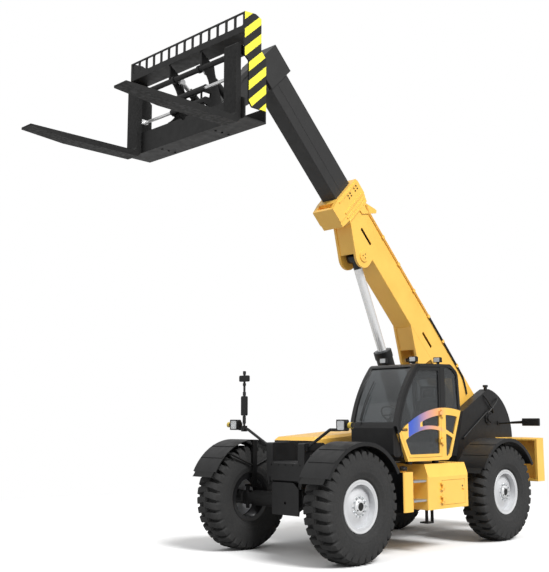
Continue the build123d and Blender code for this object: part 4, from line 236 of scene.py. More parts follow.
@dataclass(frozen=True)
class CabEnamel(Finish):
    """Cab enamel: black over the door's upper arc, yellow under it, with a fade along the arcs.

    Attributes:
        upper_arc: x, z and radius of the upper arc's top edge.
        lower_arc: x, z and radius of the lower arc's top edge.
        band: Depth of the upper arc's band; the lower one's is half of it.
        outer_y: The yellow lies outside this width, on the left.
        wedge_rear: The two bands are one from here forward.
        fade_front: Where the fade ends ahead.
        fade_rear: Where the fade starts behind.
        far: A distance past everything on the cab.
        fade: Stops of the fade, from the rear forward.
    """

    upper_arc: Corner = (-1.3728, 0.185, 2.0309)
    lower_arc: Corner = (-0.9589, 0.545, 1.3929)
    band: float = 0.114
    outer_y: float = 1.262
    wedge_rear: float = -0.70
    fade_front: float = -0.40
    fade_rear: float = -1.42
    far: float = 9.0
    fade: tuple[tuple[float, str], ...] = ((0.0, "#FAC75C"), (0.30, "#E9A878"), (0.55, "#C493A0"),
                                           (0.78, "#5C6DB4"), (0.93, "#3F5CC0"))

    def within(self, tree: Tree, value: Socket, low: float, high: float) -> Socket:
        """1 where a value lies between two limits."""
        over = add_node(tree, MATH, {0: value, 1: low}, operation="GREATER_THAN")
        under = add_node(tree, MATH, {0: value, 1: high}, operation="LESS_THAN")
        return add_node(tree, MATH, {0: over, 1: under}, operation="MULTIPLY").outputs[0]

    def fade_mask(self, tree: Tree, x: Socket, upper: Socket, lower: Socket) -> bpy.types.Node:
        """1 on the two bands and on the wedge between them, over the length of the fade.

        Args:
            tree: The material's node tree.
            x: Place along the machine.
            upper: Distance from the upper arc's centre.
            lower: Distance from the lower arc's centre.

        Returns:
            The node that gives the mask.
        """
        top, below = self.upper_arc[2], self.lower_arc[2] - self.band / 2
        bands = add_node(tree, MATH, {0: self.within(tree, upper, top - self.band, top),
                                      1: self.within(tree, lower, below, self.lower_arc[2])},
                         operation="MAXIMUM")
        between = add_node(tree, MATH, {0: self.within(tree, upper, 0.0, top),
                                        1: self.within(tree, lower, below, self.far)}, operation="MULTIPLY")
        wedge = add_node(tree, MATH, {0: between, 1: self.within(tree, x, self.wedge_rear, self.fade_front)},
                         operation="MULTIPLY")
        whole = add_node(tree, MATH, {0: bands, 1: wedge}, operation="MAXIMUM")
        ahead = self.within(tree, x, self.fade_rear, self.fade_front)
        return add_node(tree, MATH, {0: whole, 1: ahead}, operation="MULTIPLY")

    def base_colour(self, tree: Tree, place: Socket) -> Socket:
        """Yellow, then the fade on the arcs, then black over the upper arc and inside."""
        split = add_node(tree, SPLIT, {"Vector": place}).outputs
        flat = add_node(tree, "ShaderNodeCombineXYZ", {"X": split["X"], "Z": split["Z"]})
        upper, lower = (add_node(tree, VECTOR, {0: flat, 1: (x, 0.0, z)},
                                 operation="DISTANCE").outputs["Value"]
                        for x, z, _ in (self.upper_arc, self.lower_arc))
        along = add_node(tree, RANGE, {"Value": split["X"], "From Min": self.fade_rear,
                                       "From Max": self.fade_front})
        ramp = add_node(tree, "ShaderNodeValToRGB", {"Fac": along})
        stops = ramp.color_ramp.elements
        stops.remove(stops[1])
        stops[0].color = linear(self.fade[0][1])
        for position, colour in self.fade[1:]:
            stops.new(position).color = linear(colour)
        faded = {FACTOR: self.fade_mask(tree, split["X"], upper, lower),
                 UNDER: super().base_colour(tree, place), OVER: ramp}
        painted = add_node(tree, MIX, faded, data_type="RGBA").outputs[MIXED]
        over = add_node(tree, MATH, {0: upper, 1: self.upper_arc[2]}, operation="GREATER_THAN")
        inner = add_node(tree, MATH, {0: split["Y"], 1: self.outer_y}, operation="LESS_THAN")
        black = {FACTOR: add_node(tree, MATH, {0: over, 1: inner}, operation="MAXIMUM"),
                 UNDER: painted, OVER: linear(SATIN_BLACK)}
        return add_node(tree, MIX, black, data_type="RGBA").outputs[MIXED]


@dataclass(frozen=True)
class EndPainted(Finish):
    """Enamel with another colour past one plane of the piece.

    Attributes:
        end_colour: Colour past the plane, sRGB hex.
        axis: Direction that the plane is square to.
        limit: Place of the plane.
        test: GREATER_THAN or LESS_THAN: on which side of the plane the other colour lies.
        mirrored: Whether the same holds on both sides of the machine.
    """

    end_colour: str = SATIN_BLACK
    axis: str = "X"
    limit: float = HOOD_FRONT_X
    test: str = "GREATER_THAN"
    mirrored: bool = False

    def base_colour(self, tree: Tree, place: Socket) -> Socket:
        """The enamel's own colour, and the other past the plane."""
        value = add_node(tree, SPLIT, {"Vector": place}).outputs[self.axis]
        if self.mirrored:
            value = add_node(tree, MATH, {0: value}, operation="ABSOLUTE")
        colours = {FACTOR: add_node(tree, MATH, {0: value, 1: self.limit}, operation=self.test),
                   UNDER: super().base_colour(tree, place), OVER: linear(self.end_colour)}
        return add_node(tree, MIX, colours, data_type="RGBA").outputs[MIXED]


@dataclass(frozen=True)
class HazardPlate(Finish):
    """Carriage enamel with slanted yellow bands on the outer faces of its side plates.

    Attributes:
        pitch: Height from one yellow band to the next.
        slant: How far a band rises per metre towards the rear.
        face_y: The bands lie outside this width.
        foot_z: Lower end of the bands.
        step_x: Front edge of the plates' lower part.
        step_z: Height over which the plates are wider than that.
    """

    pitch: float = 0.262
    slant: float = 0.91
    face_y: float = 1.2985
    foot_z: float = 6.158
    step_x: float = 2.9215
    step_z: float = 6.79

    def base_colour(self, tree: Tree, place: Socket) -> Socket:
        """Bands that rise towards the rear of the plate."""
        split = add_node(tree, SPLIT, {"Vector": place}).outputs
        slant = add_node(tree, MATH, {0: split["X"], 1: self.slant, 2: split["Z"]}, operation="MULTIPLY_ADD")
        turn = add_node(tree, MATH, {0: slant, 1: self.pitch}, operation="FLOORED_MODULO")
        side = add_node(tree, MATH, {0: split["Y"]}, operation="ABSOLUTE")
        over, behind, raised, outer, band = (
            add_node(tree, MATH, {0: value, 1: limit}, operation=test) for value, limit, test in (
                (split["Z"], self.step_z, "GREATER_THAN"),
                (split["X"], self.step_x, "LESS_THAN"),
                (split["Z"], self.foot_z, "GREATER_THAN"),
                (side, self.face_y, "GREATER_THAN"),
                (turn, self.pitch / 2, "GREATER_THAN"),
            ))
        shown = add_node(tree, MATH, {0: over, 1: behind}, operation="MAXIMUM")
        for mask in (raised, outer, band):
            shown = add_node(tree, MATH, {0: shown, 1: mask}, operation="MULTIPLY")
        colours = {FACTOR: shown, UNDER: super().base_colour(tree, place), OVER: linear("#F7EE45")}
        return add_node(tree, MIX, colours, data_type="RGBA").outputs[MIXED]


@dataclass(frozen=True)
class RodFinish(Finish):
    """Hard chrome on a cylinder's rod, with its cast eye in black.

    Attributes:
        eye: Middle of the eye.
        eye_radius: How far the black casting reaches.
    """

    eye: Corner = (0.0, 0.0, 0.0)
    eye_radius: float = 0.1

    def inside_eye(self, tree: Tree, place: Socket) -> bpy.types.Node:
        """1 on the eye and 0 on the rod."""
        away = add_node(tree, VECTOR, {0: place, 1: self.eye}, operation="DISTANCE").outputs["Value"]
        return add_node(tree, MATH, {0: away, 1: self.eye_radius}, operation="LESS_THAN")

    def base_colour(self, tree: Tree, place: Socket) -> Socket:
        """Black on the eye."""
        colours = {FACTOR: self.inside_eye(tree, place), UNDER: super().base_colour(tree, place),
                   OVER: linear("#151516")}
        return add_node(tree, MIX, colours, data_type="RGBA").outputs[MIXED]

    def adjust(self, tree: Tree, shader: bpy.types.Node, place: Socket) -> None:
        """Paint on the eye isn't metal."""
        metal = add_node(tree, RANGE, {"Value": self.inside_eye(tree, place), "To Min": self.metallic,
                                       "To Max": 0.0})
        tree.links.new(metal.outputs[0], shader.inputs["Metallic"])


@dataclass(frozen=True)
class SeatCloth(Finish):
    """Woven seat cloth: crossing threads with a soft sheen.

    Attributes:
        thread_mm: Thread spacing, drawn coarser than the real one so that the weave shows.
        wave_share: Scale of a wave texture over that of a noise with features of the same size.
    """

    thread_mm: float = 5.0
    wave_share: float = 0.6 / (2 * math.pi)

    def adjust(self, tree: Tree, shader: bpy.types.Node, place: Socket) -> None:
        """Add the weave as relief."""
        shader.inputs["Sheen Weight"].default_value = 0.35
        shader.inputs["Sheen Roughness"].default_value = 0.5
        scale = per_mm(self.thread_mm) * self.wave_share
        across, along = (add_node(tree, "ShaderNodeTexWave", {"Vector": place, "Scale": scale},
                                  bands_direction=direction).outputs["Fac"] for direction in ("X", "Y"))
        weave = add_node(tree, MATH, {0: across, 1: along}, operation="MULTIPLY")
        bump = add_node(tree, "ShaderNodeBump", {"Height": weave, "Strength": 0.4, "Distance": 0.0008})
        tree.links.new(bump.outputs[0], shader.inputs["Normal"])


# What several finishes share: the yellow enamel, the silver enamel and the chrome.
YELLOW_ENAMEL = {"colour": "#FAC75C", "shade": "#EDB148", "roughness": (0.3, 0.42)}
SILVER_ENAMEL = {"metallic": 0.3, "roughness": (0.3, 0.42), "coat": 0.3}
# The chrome is only partly metal over a white base colour: its white diffuse share is a painted reflection of
# the white surroundings.
HARD_CHROME_WITH_PAINTED_REFLECTION = {"colour": "#FFFFFF", "shade": "#F2F4F5", "metallic": 0.6, "roughness": (0.12, 0.2),
               "grain_depth_mm": 0.02}


class Finishes(Enum):
    """Every finish on the machine."""

    # Sprayed construction yellow: glossy, even, a little darker where dust sits.
    YELLOW = Finish("sprayed yellow enamel", coat=0.3, **YELLOW_ENAMEL)
    # The same enamel on the hood, whose front end is black.
    HOOD = EndPainted("yellow hood enamel with black front", coat=0.3, **YELLOW_ENAMEL)
    # The same enamel on the step box, with black painted on the tank's front end as painted shade, where it
    # lies in deep shadow behind the front wheel.
    BOX = EndPainted("yellow box enamel with painted shade on the tank end", coat=0.3, limit=TANK_FRONT_X, **YELLOW_ENAMEL)
    # The same enamel under the cab's arc, and satin black over it.
    CAB = CabEnamel("cab enamel in black and yellow with colour fade", coat=0.2, **YELLOW_ENAMEL)
    # Dark satin enamel of the inner boom: nearly black with soft broad reflections.
    BOOM_DARK = Finish("dark satin boom enamel", "#282828", "#222121", roughness=(0.45, 0.58))
    # Black satin powder coat on frame, fenders and cab: a fine grain that dulls highlights.
    BLACK = Finish("black powder coat", SATIN_BLACK, "#121111", roughness=(0.38, 0.52))
    # Dark grey enamel of the boom tower, a shade lighter than the frame.
    TOWER = Finish("dark grey frame enamel", "#121213", "#191818", roughness=(0.38, 0.52))
    # Forged fork steel under thin black paint: patchy, rubbed on top.
    FORGED = Finish("forged steel with thin black paint", "#1E1E1E", "#292827", metallic=0.4,
                    roughness=(0.45, 0.7), patch_mm=220)
    # Carbon-black tyre rubber: dull, slightly grey with dust.
    RUBBER = Finish("tyre rubber", "#262626", "#302F2E", roughness=(0.75, 0.92), patch_mm=160,
                    grain_mm=6, grain_depth_mm=0.4)
    # Mud flap rubber: softer and blacker than the tyre's.
    FLAP = Finish("mud flap rubber", "#111111", "#191918", roughness=(0.7, 0.85), patch_mm=120,
                  grain_mm=5, grain_depth_mm=0.3)
    # Hose rubber over wire braid: black with a dull shine along its length.
    HOSE = Finish("hydraulic hose rubber", "#191919", "#222222", roughness=(0.5, 0.65), patch_mm=40,
                  grain_mm=2, grain_depth_mm=0.2)
    # Silver wheel enamel: metal flakes under lacquer.
    SILVER = Finish("silver wheel enamel", "#DDDEDF", "#BFC0C2", **SILVER_ENAMEL)
    # The same enamel on the rims, with black painted behind the disc as painted shade in the wheel's hollow.
    RIM_WITH_PAINTED_SHADE = EndPainted("silver wheel enamel with painted shade on the inner side", "#D5D6D8", "#B8B9BB", **SILVER_ENAMEL,
                     end_colour="#1E1E1F", axis="Y", limit=1.205, test="LESS_THAN", mirrored=True)
    # Hard chrome on ground rods: a mirror with faint lengthwise haze, and a painted white reflection from its
    # part-diffuse white base.
    CHROME = Finish("hard chrome", **HARD_CHROME_WITH_PAINTED_REFLECTION)
    # The same chrome on the lift rod and the levelling rod, whose cast eyes are painted black.
    LIFT_ROD = RodFinish("hard chrome with black lift eye", eye=(-0.7569, 0.0, 4.7477), eye_radius=0.215,
                         **HARD_CHROME_WITH_PAINTED_REFLECTION)
    LEVELLING_ROD = RodFinish("hard chrome with black levelling eye", eye=(-2.3033, 0.0, 3.0839),
                              eye_radius=0.125, **HARD_CHROME_WITH_PAINTED_REFLECTION)
    # Turned steel gland nut: bright, with the tool's fine rings blurred together.
    CHROME_DULL = Finish("turned gland steel", "#8C8E90", "#77797B", metallic=1.0, roughness=(0.25, 0.38),
                         patch_mm=60)
    # Cast axle housing in black primer: coarse sand-cast skin.
    CAST = Finish("painted sand casting", "#131313", "#1B1A1A", roughness=(0.55, 0.75), grain_mm=9,
                  grain_depth_mm=0.6)
    # Moulded black plastic: fine leather grain, no gloss.
    PLASTIC = Finish("moulded black plastic", "#111112", "#181819", roughness=(0.5, 0.66), grain_mm=4,
                     grain_depth_mm=0.2)
    # Cast nylon wear pads: dull, slightly waxy grey.
    NYLON = Finish("cast nylon wear pad", "#4A4A46", "#3C3C39", roughness=(0.4, 0.55), patch_mm=50)
    # Laminated cab glass with a grey tint: dark from outside, clear enough to show the seat.
    GLASS = ClearFinish("grey laminated glass", "#85898B", "#7D8183", roughness=(0.02, 0.05),
                        grain_depth_mm=0.0, shade_amount=0.2)
    # Black enamel of the carriage with painted hazard bands: duller than the powder coat.
    CARRIAGE = HazardPlate("black carriage enamel with hazard bands", "#111111", "#171616",
                           roughness=(0.45, 0.6))
    # Zinc plate on fasteners and rungs: pale, slightly blue, soft sheen.
    ZINC = Finish("bright zinc plate", "#C9CCCE", "#AEB2B4", metallic=0.9, roughness=(0.28, 0.42),
                  patch_mm=60)
    # Fluted polycarbonate lamp lens over a reflector: white with a hard gloss.
    LENS = ClearFinish("fluted lamp lens", "#F0F2F3", "#E2E5E7", roughness=(0.05, 0.12), patch_mm=80,
                       grain_depth_mm=0.0, transmission=0.25, ior=1.585)
    # Amber lens of the side lamps: pale yellow where light comes through, with a hard gloss.
    AMBER = ClearFinish("amber acrylic lens", "#F4D552", "#E8BE3A", roughness=(0.08, 0.16), patch_mm=60,
                        grain_depth_mm=0.0, transmission=0.25, ior=1.585)
    # Silvered mirror glass: reflects the surroundings almost whole.
    MIRROR = Finish("silvered mirror glass", "#E6E8E9", "#D9DCDD", metallic=1.0, roughness=(0.02, 0.04),
                    grain_depth_mm=0.0)
    # Woven charcoal seat cloth over foam.
    CLOTH = SeatCloth("charcoal woven seat cloth", "#2B2C2E", "#37383A", roughness=(0.8, 0.95),
                      patch_mm=180, grain_mm=3, grain_depth_mm=0.3)


def dress(finish: Finishes, *names: str) -> None:
    """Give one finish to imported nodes.

    Args:
        finish: The finish they get.
        names: The nodes' names.
    """
    material = finish.value.build()
    for name in names:
        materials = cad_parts[name].data.materials
        materials.clear()
        materials.append(material)
        LOG.info("node %s: %s", name, finish.value.name)


# ---------------------------------------------------------------- shaping tools
class Shape:
    """A mesh under construction, in metres, in the machine's own frame."""

    def __init__(self) -> None:
        """Start with nothing."""
        self.mesh = bmesh.new()

    def block(self, low: Corner, high: Corner, bevel: float = BEVEL) -> "Shape":
        """Add a block with eased edges between two corners."""
        size = [b - a for a, b in zip(low, high)]
        middle = Vector([(a + b) / 2 for a, b in zip(low, high)])
        place = Matrix.Translation(middle) @ Matrix.Diagonal((*size, 1))
        made = bmesh.ops.create_cube(self.mesh, size=1.0, matrix=place)
        edges = list({edge for vert in made["verts"] for edge in vert.link_edges})
        bmesh.ops.bevel(self.mesh, geom=edges, offset=bevel, segments=2, affect="EDGES",
                        clamp_overlap=True)
        return self

    def bar(self, start: Corner, end: Corner, radius: float, sides: int = 20,
            end_radius: float | None = None) -> "Shape":
        """Add a round bar, or a taper when the end has its own radius."""
        first, last = Vector(start), Vector(end)
        run = last - first
        turn = run.to_track_quat("Z", "Y").to_matrix().to_4x4()
        bmesh.ops.create_cone(self.mesh, cap_ends=True, segments=sides, radius1=radius,
                              radius2=radius if end_radius is None else end_radius, depth=run.length,
                              matrix=Matrix.Translation((first + last) / 2) @ turn)
        return self

    def loft(self, rings: Sequence[Sequence[Corner]], endless: bool = False) -> "Shape":
        """Add a closed form through rings of as many points each.

        Args:
            rings: The rings in order.
            endless: Whether the last ring joins the first; if not, both get flat ends.

        Returns:
            This shape.
        """
        made = [[self.mesh.verts.new(place) for place in ring] for ring in rings]
        for here, after in zip(made, made[1:] + made[:1] if endless else made[1:]):
            for index in range(len(here)):
                other = (index + 1) % len(here)
                self.mesh.faces.new((here[index], here[other], after[other], after[index]))
        if not endless:
            self.mesh.faces.new(made[0])
            self.mesh.faces.new(made[-1])
        return self

    def prism(self, outline: Sequence[tuple[float, float]], place: Callable[[float, float, float], Corner],
              low: float, high: float) -> "Shape":
        """Add a plate from an outline.

        Args:
            outline: Points of the outline in its own two directions.
            place: Turns the two outline values and a height into a place.
            low: Height of one face.
            high: Height of the other face.

        Returns:
            This shape.
        """
        return self.loft([[place(u, v, height) for u, v in outline] for height in (low, high)])

    def lathe(self, profile: Sequence[tuple[float, float]], centre: Corner, steps: int) -> "Shape":
        """Add a closed ring turned about an axis along Y through a centre, from (y, radius) points."""
        rings = []
        for step in range(steps):
            angle = 2 * math.pi * step / steps
            rings.append([(centre[0] + radius * math.cos(angle), centre[1] + y,
                           centre[2] + radius * math.sin(angle)) for y, radius in profile])
        return self.loft(rings, endless=True)

    def line(self, points: Sequence[Corner], radius: float, smooth: bool = True) -> "Shape":
        """Add a pipe or hose that follows its points.

        Args:
            points: Route of the pipe.
            radius: Outer radius.
            smooth: Whether the route is one smooth curve, as a hose's is.

        Returns:
            This shape.
        """
        curve = bpy.data.curves.new("route", "CURVE")
        curve.dimensions = "3D"
        curve.bevel_depth = radius
        curve.bevel_resolution = 3
        curve.use_fill_caps = True
        curve.resolution_u = 8
        spline = curve.splines.new("NURBS" if smooth else "POLY")
        spline.points.add(len(points) - 1)
        for point, place in zip(spline.points, points):
            point.co = (*place, 1.0)
        if smooth:
            spline.order_u = 3
            spline.use_endpoint_u = True
        holder = bpy.data.objects.new("route", curve)
        bpy.context.scene.collection.objects.link(holder)
        bpy.context.view_layer.update()
        tube = bpy.data.meshes.new_from_object(holder.evaluated_get(bpy.context.evaluated_depsgraph_get()))
        self.mesh.from_mesh(tube)
        bpy.data.objects.remove(holder)
        bpy.data.meshes.remove(tube)
        return self

    def to_mesh(self, name: str, smooth_degrees: float = 35.0) -> bpy.types.Mesh:
        """Close the work: merge, turn the faces outwards and smooth what is round."""
        bmesh.ops.remove_doubles(self.mesh, verts=self.mesh.verts, dist=1e-5)
        bmesh.ops.recalc_face_normals(self.mesh, faces=self.mesh.faces)
        mesh = bpy.data.meshes.new(name)
        self.mesh.to_mesh(mesh)
        self.mesh.free()
        mesh.shade_smooth()
        mesh.set_sharp_from_angle(angle=math.radians(smooth_degrees))
        return mesh


def mount(mesh: bpy.types.Mesh, body: str, finish: "Finishes", stands_for: str = "") -> bpy.types.Object:
    """Make a piece of a mesh that is already in place.

    Args:
        mesh: The piece's mesh.
        body: Moving body that it rides on.
        finish: The piece's finish.
        stands_for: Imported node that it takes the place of, if any.

    Returns:
        The piece.
    """
    piece = bpy.data.objects.new(mesh.name, mesh)
    bpy.context.scene.collection.objects.link(piece)
    mesh.materials.clear()
    mesh.materials.append(finish.value.build())
    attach(piece, body)
    if stands_for:
        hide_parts(stands_for)
    LOG.info("piece %s on %s: %d faces, %s", piece.name, body, len(mesh.polygons), finish.value.name)
    return piece


class Layout(Enum):
    """How copies of one shape are laid out."""

    RING = "copies on a ring"
    ROW = "copies in a row"


def layout_tree(layout: Layout) -> Tree:
    """Geometry Nodes tree that repeats the shape it is given, on a ring about an axis or in a straight row.

    Args:
        layout: Ring or row.

    Returns:
        The tree, made once and kept.
    """
    known = bpy.data.node_groups.get(layout.value)
    if known:
        return known
    tree = bpy.data.node_groups.new(layout.value, "GeometryNodeTree")
    for name, kind in (("Shape", "Geometry"), ("Count", "Int"), ("Start", "Vector"), ("Step", "Vector"),
                       ("Phase", "Float"), ("Finish", "Material")):
        tree.interface.new_socket(name, in_out="INPUT", socket_type="NodeSocket" + kind)
    tree.interface.new_socket("Copies", in_out="OUTPUT", socket_type="NodeSocketGeometry")
    given = add_node(tree, "NodeGroupInput").outputs
    ring = layout is Layout.RING
    # On a ring, every copy is turned about the same point.
    line = add_node(tree, "GeometryNodeMeshLine", {"Count": given["Count"], "Start Location": given["Start"],
                                                   "Offset": (0.0, 0.0, 0.0) if ring else given["Step"]})
    placed = {"Points": line, "Instance": given["Shape"]}
    if ring:
        index = add_node(tree, "GeometryNodeInputIndex")
        turn = add_node(tree, MATH, {0: 2 * math.pi, 1: given["Count"]}, operation="DIVIDE")
        angle = add_node(tree, MATH, {0: index, 1: turn, 2: given["Phase"]}, operation="MULTIPLY_ADD")
        placed["Rotation"] = add_node(tree, "FunctionNodeAxisAngleToRotation",
                                      {"Axis": given["Step"], "Angle": angle})
    copies = add_node(tree, "GeometryNodeInstanceOnPoints", placed)
    real = add_node(tree, "GeometryNodeRealizeInstances", {"Geometry": copies})
    dressed = add_node(tree, "GeometryNodeSetMaterial", {"Geometry": real, "Material": given["Finish"]})
    add_node(tree, "NodeGroupOutput", {"Copies": dressed})
    return tree


@dataclass(frozen=True)
class Repeat:
    """Copies of one small shape, modelled about the origin.

    Attributes:
        layout: Ring or row.
        count: Number of copies.
        start: Centre of the ring, or place of the first copy.
        step: Axis of the ring, or the way from one copy to the next.
        phase: Turn of the first copy on a ring.
    """

    layout: Layout
    count: int
    start: Corner
    step: Corner
    phase: float = 0.0

    def mesh(self, name: str, shape: Shape, finish: "Finishes") -> bpy.types.Mesh:
        """Repeat a shape and return the copies as one plain mesh.

        Args:
            name: Name of the mesh.
            shape: The one shape that is repeated.
            finish: Finish of the copies.

        Returns:
            The mesh of all copies.
        """
        one = bpy.data.objects.new(name + "_one", shape.to_mesh(name + "_one"))
        bpy.context.scene.collection.objects.link(one)
        tree = layout_tree(self.layout)
        modifier = one.modifiers.new("copies", "NODES")
        modifier.node_group = tree
        values = {"Count": self.count, "Start": self.start, "Step": self.step, "Phase": self.phase,
                  "Finish": finish.value.build()}
        for socket in tree.interface.items_tree:
            if socket.in_out == "INPUT" and socket.name in values:
                modifier[socket.identifier] = values[socket.name]
        bpy.context.view_layer.update()
        made = bpy.data.meshes.new_from_object(one.evaluated_get(bpy.context.evaluated_depsgraph_get()))
        made.name = name
        bpy.data.objects.remove(one)
        return made


def joined(name: str, meshes: Iterable[bpy.types.Mesh]) -> bpy.types.Mesh:
    """Join plain meshes that share a finish and a body into one."""
    whole = Shape()
    for mesh in meshes:
        whole.mesh.from_mesh(mesh)
    return whole.to_mesh(name)


def bolt(head: float, height: float, axis: Corner) -> Shape:
    """Hexagon bolt head on its washer, about the origin, that points along an axis."""
    along = Vector(axis)
    shape = Shape().bar((0, 0, 0), tuple(along * height * 0.25), head * 1.25, 16)
    return shape.bar(tuple(along * height * 0.2), tuple(along * height), head, HEXAGON)


# ---------------------------------------------------------------- wheels
CORNERS = (
    # corner, axle x, side of the machine
    ("front_left", FRONT_AXLE_X, 1),
    ("front_right", FRONT_AXLE_X, -1),
    ("rear_left", REAR_AXLE_X, 1),
    ("rear_right", REAR_AXLE_X, -1),
)


@dataclass
class Wheel:
    """Tyre with its carcass and tread lugs, and what is bolted to the rim, of one wheel.

    Attributes:
        corner: Which wheel.
        axle_x: Place of its axle.
        side: 1 on the left, -1 on the right.
        centre_y: Distance of its middle plane from the machine's.
        lugs: Lugs round each shoulder.
        lug_width: Width of a lug at its root.
        lug_slant: How far a lug's outer end lags behind its inner end.
        lug_reach: Distance of a lug's outer end from the wheel's middle plane.
        nuts: Wheel nuts.
        nut_circle: Radius of the circle that the wheel nuts stand on.
        disc_y: Outer face of the wheel disc, from the wheel's middle plane.
        plugs: Oil plugs in the planet hub's cover.
        plug_circle: Radius of the circle that the plugs stand on.
    """

    corner: str
    axle_x: float
    side: int
    centre_y: float = 1.141
    lugs: int = 32
    lug_width: float = 0.112
    lug_slant: float = 0.035
    lug_reach: float = 0.23
    nuts: int = 12
    nut_circle: float = 0.134
    disc_y: float = 0.145
    plugs: int = 4
    plug_circle: float = 0.081

    @property
    def centre(self) -> Corner:
        """Middle of the wheel."""
        return self.beside(0.0)

    @property
    def body(self) -> str:
        """Moving body of the wheel."""
        return f"wheel_{self.corner}"

    def beside(self, out: float) -> Corner:
        """Place on the axle, a distance outwards from the wheel's middle plane."""
        return (self.axle_x, self.side * self.centre_y + self.side * out, AXLE_Z)

    def carcass(self) -> None:
        """Round casing with full side walls, a rim guard and a low moulded band."""
        half = [
            # y, radius: from the middle rib over the shoulder and down the side wall to the bead
            (0.0, 0.799), (0.034, 0.798), (0.052, 0.750), (0.180, 0.742), (0.210, 0.726), (0.226, 0.690),
            (0.234, 0.640), (0.2385, 0.575), (0.237, 0.520), (0.233, 0.500), (0.235, 0.492), (0.231, 0.480),
            (0.220, 0.445), (0.206, 0.418), (0.206, 0.408), (0.196, 0.398), (0.184, 0.386), (0.172, 0.374),
            (0.170, 0.324),
        ]
        profile = [(-y, radius) for y, radius in reversed(half[1:])] + half
        casing = Shape().lathe(profile, self.centre, 120).to_mesh(f"tyre_casing_{self.corner}", 50.0)
        mount(casing, self.body, Finishes.RUBBER, f"tyre_{self.corner}")

    def lug(self, side: int) -> Shape:
        """One tread lug of a shoulder, about the wheel's centre at the top of the tread.

        Args:
            side: Shoulder that the lug is on.

        Returns:
            The lug.
        """
        stations = (
            # y, outer radius, inner radius, share of the width
            (-0.012, 0.8060, 0.735, 0.78),
            (0.060, 0.8070, 0.735, 0.92),
            (0.150, 0.8055, 0.730, 1.00),
            (0.200, 0.7790, 0.715, 1.00),
            (0.222, 0.7640, 0.700, 0.98),
            (0.2310, 0.7100, 0.680, 0.90),
            (0.2340, 0.6640, 0.655, 0.80),
        )
        rings = []
        for y, outer, inner, share in stations:
            shift = self.lug_slant * (y / self.lug_reach) ** 2
            half = self.lug_width * share / 2
            # Root, chamfer and top of one flank, as a share of the half width and a radius.
            flank = ((1.0, inner), (0.86, outer - 0.005), (0.74, outer))
            corners = [(shift - half * part, radius) for part, radius in flank]
            corners += [(shift + half * part, radius) for part, radius in reversed(flank)]
            rings.append([(math.sin(across / radius) * radius, side * y, math.cos(across / radius) * radius)
                          for across, radius in corners])
        return Shape().loft(rings)

    def tread(self) -> None:
        """Lugs of both shoulders, those of one side between those of the other."""
        half_pitch = math.pi / self.lugs
        sides = [Repeat(Layout.RING, self.lugs, self.centre, ACROSS, phase)
                 .mesh(f"lugs_{self.corner}_{number}", self.lug(side), Finishes.RUBBER)
                 for number, (side, phase) in enumerate(((1, half_pitch), (-1, 2 * half_pitch)))]
        mount(joined(f"tread_{self.corner}", sides), self.body, Finishes.RUBBER)

    def hub(self) -> None:
        """Wheel nuts on their studs, a seat ring, and the planet hub's cover with its plugs."""
        nut = Shape()
        for low, high, radius, sides in ((0.0, 0.006, 0.017, 16), (0.005, 0.020, 0.0135, HEXAGON),
                                         (0.019, 0.030, 0.0075, 10)):
            nut.bar((self.nut_circle, self.side * low, 0), (self.nut_circle, self.side * high, 0), radius,
                    sides)
        ring = Repeat(Layout.RING, self.nuts, self.beside(self.disc_y), ACROSS)
        mount(ring.mesh(f"wheel_nuts_{self.corner}", nut, Finishes.ZINC), self.body, Finishes.ZINC)
        bright = Shape()
        for base_y, steps, outline in (
            # The planet hub's cover, the seat ring under the nuts, and the rim's outer lip.
            (0.1455, 64, ((0.0, 0.104), (0.008, 0.108), (0.018, 0.106), (0.026, 0.090), (0.032, 0.084),
                          (0.036, 0.070), (0.036, 0.0608), (0.0, 0.0608))),
            (0.1455, 64, ((0.0, 0.160), (0.005, 0.158), (0.005, 0.114), (0.0, 0.112))),
            (0.181, 96, ((0.0, 0.372), (0.0065, 0.368), (0.0075, 0.356), (0.0035, 0.344), (0.0, 0.342))),
        ):
            bright.lathe([(self.side * (base_y + y), radius) for y, radius in outline], self.centre, steps)
        mount(bright.to_mesh(f"hub_cover_{self.corner}"), self.body, Finishes.SILVER)
        plug = Shape().bar((self.plug_circle, 0, 0), (self.plug_circle, self.side * 0.012, 0), 0.010, 8)
        ring = Repeat(Layout.RING, self.plugs, self.beside(0.1715), ACROSS, 0.6)
        mount(ring.mesh(f"hub_plugs_{self.corner}", plug, Finishes.BLACK), self.body, Finishes.BLACK)

    def build(self) -> None:
        """Make the whole wheel."""
        self.carcass()
        self.tread()
        self.hub()
        dress(Finishes.RIM_WITH_PAINTED_SHADE, f"rim_{self.corner}")


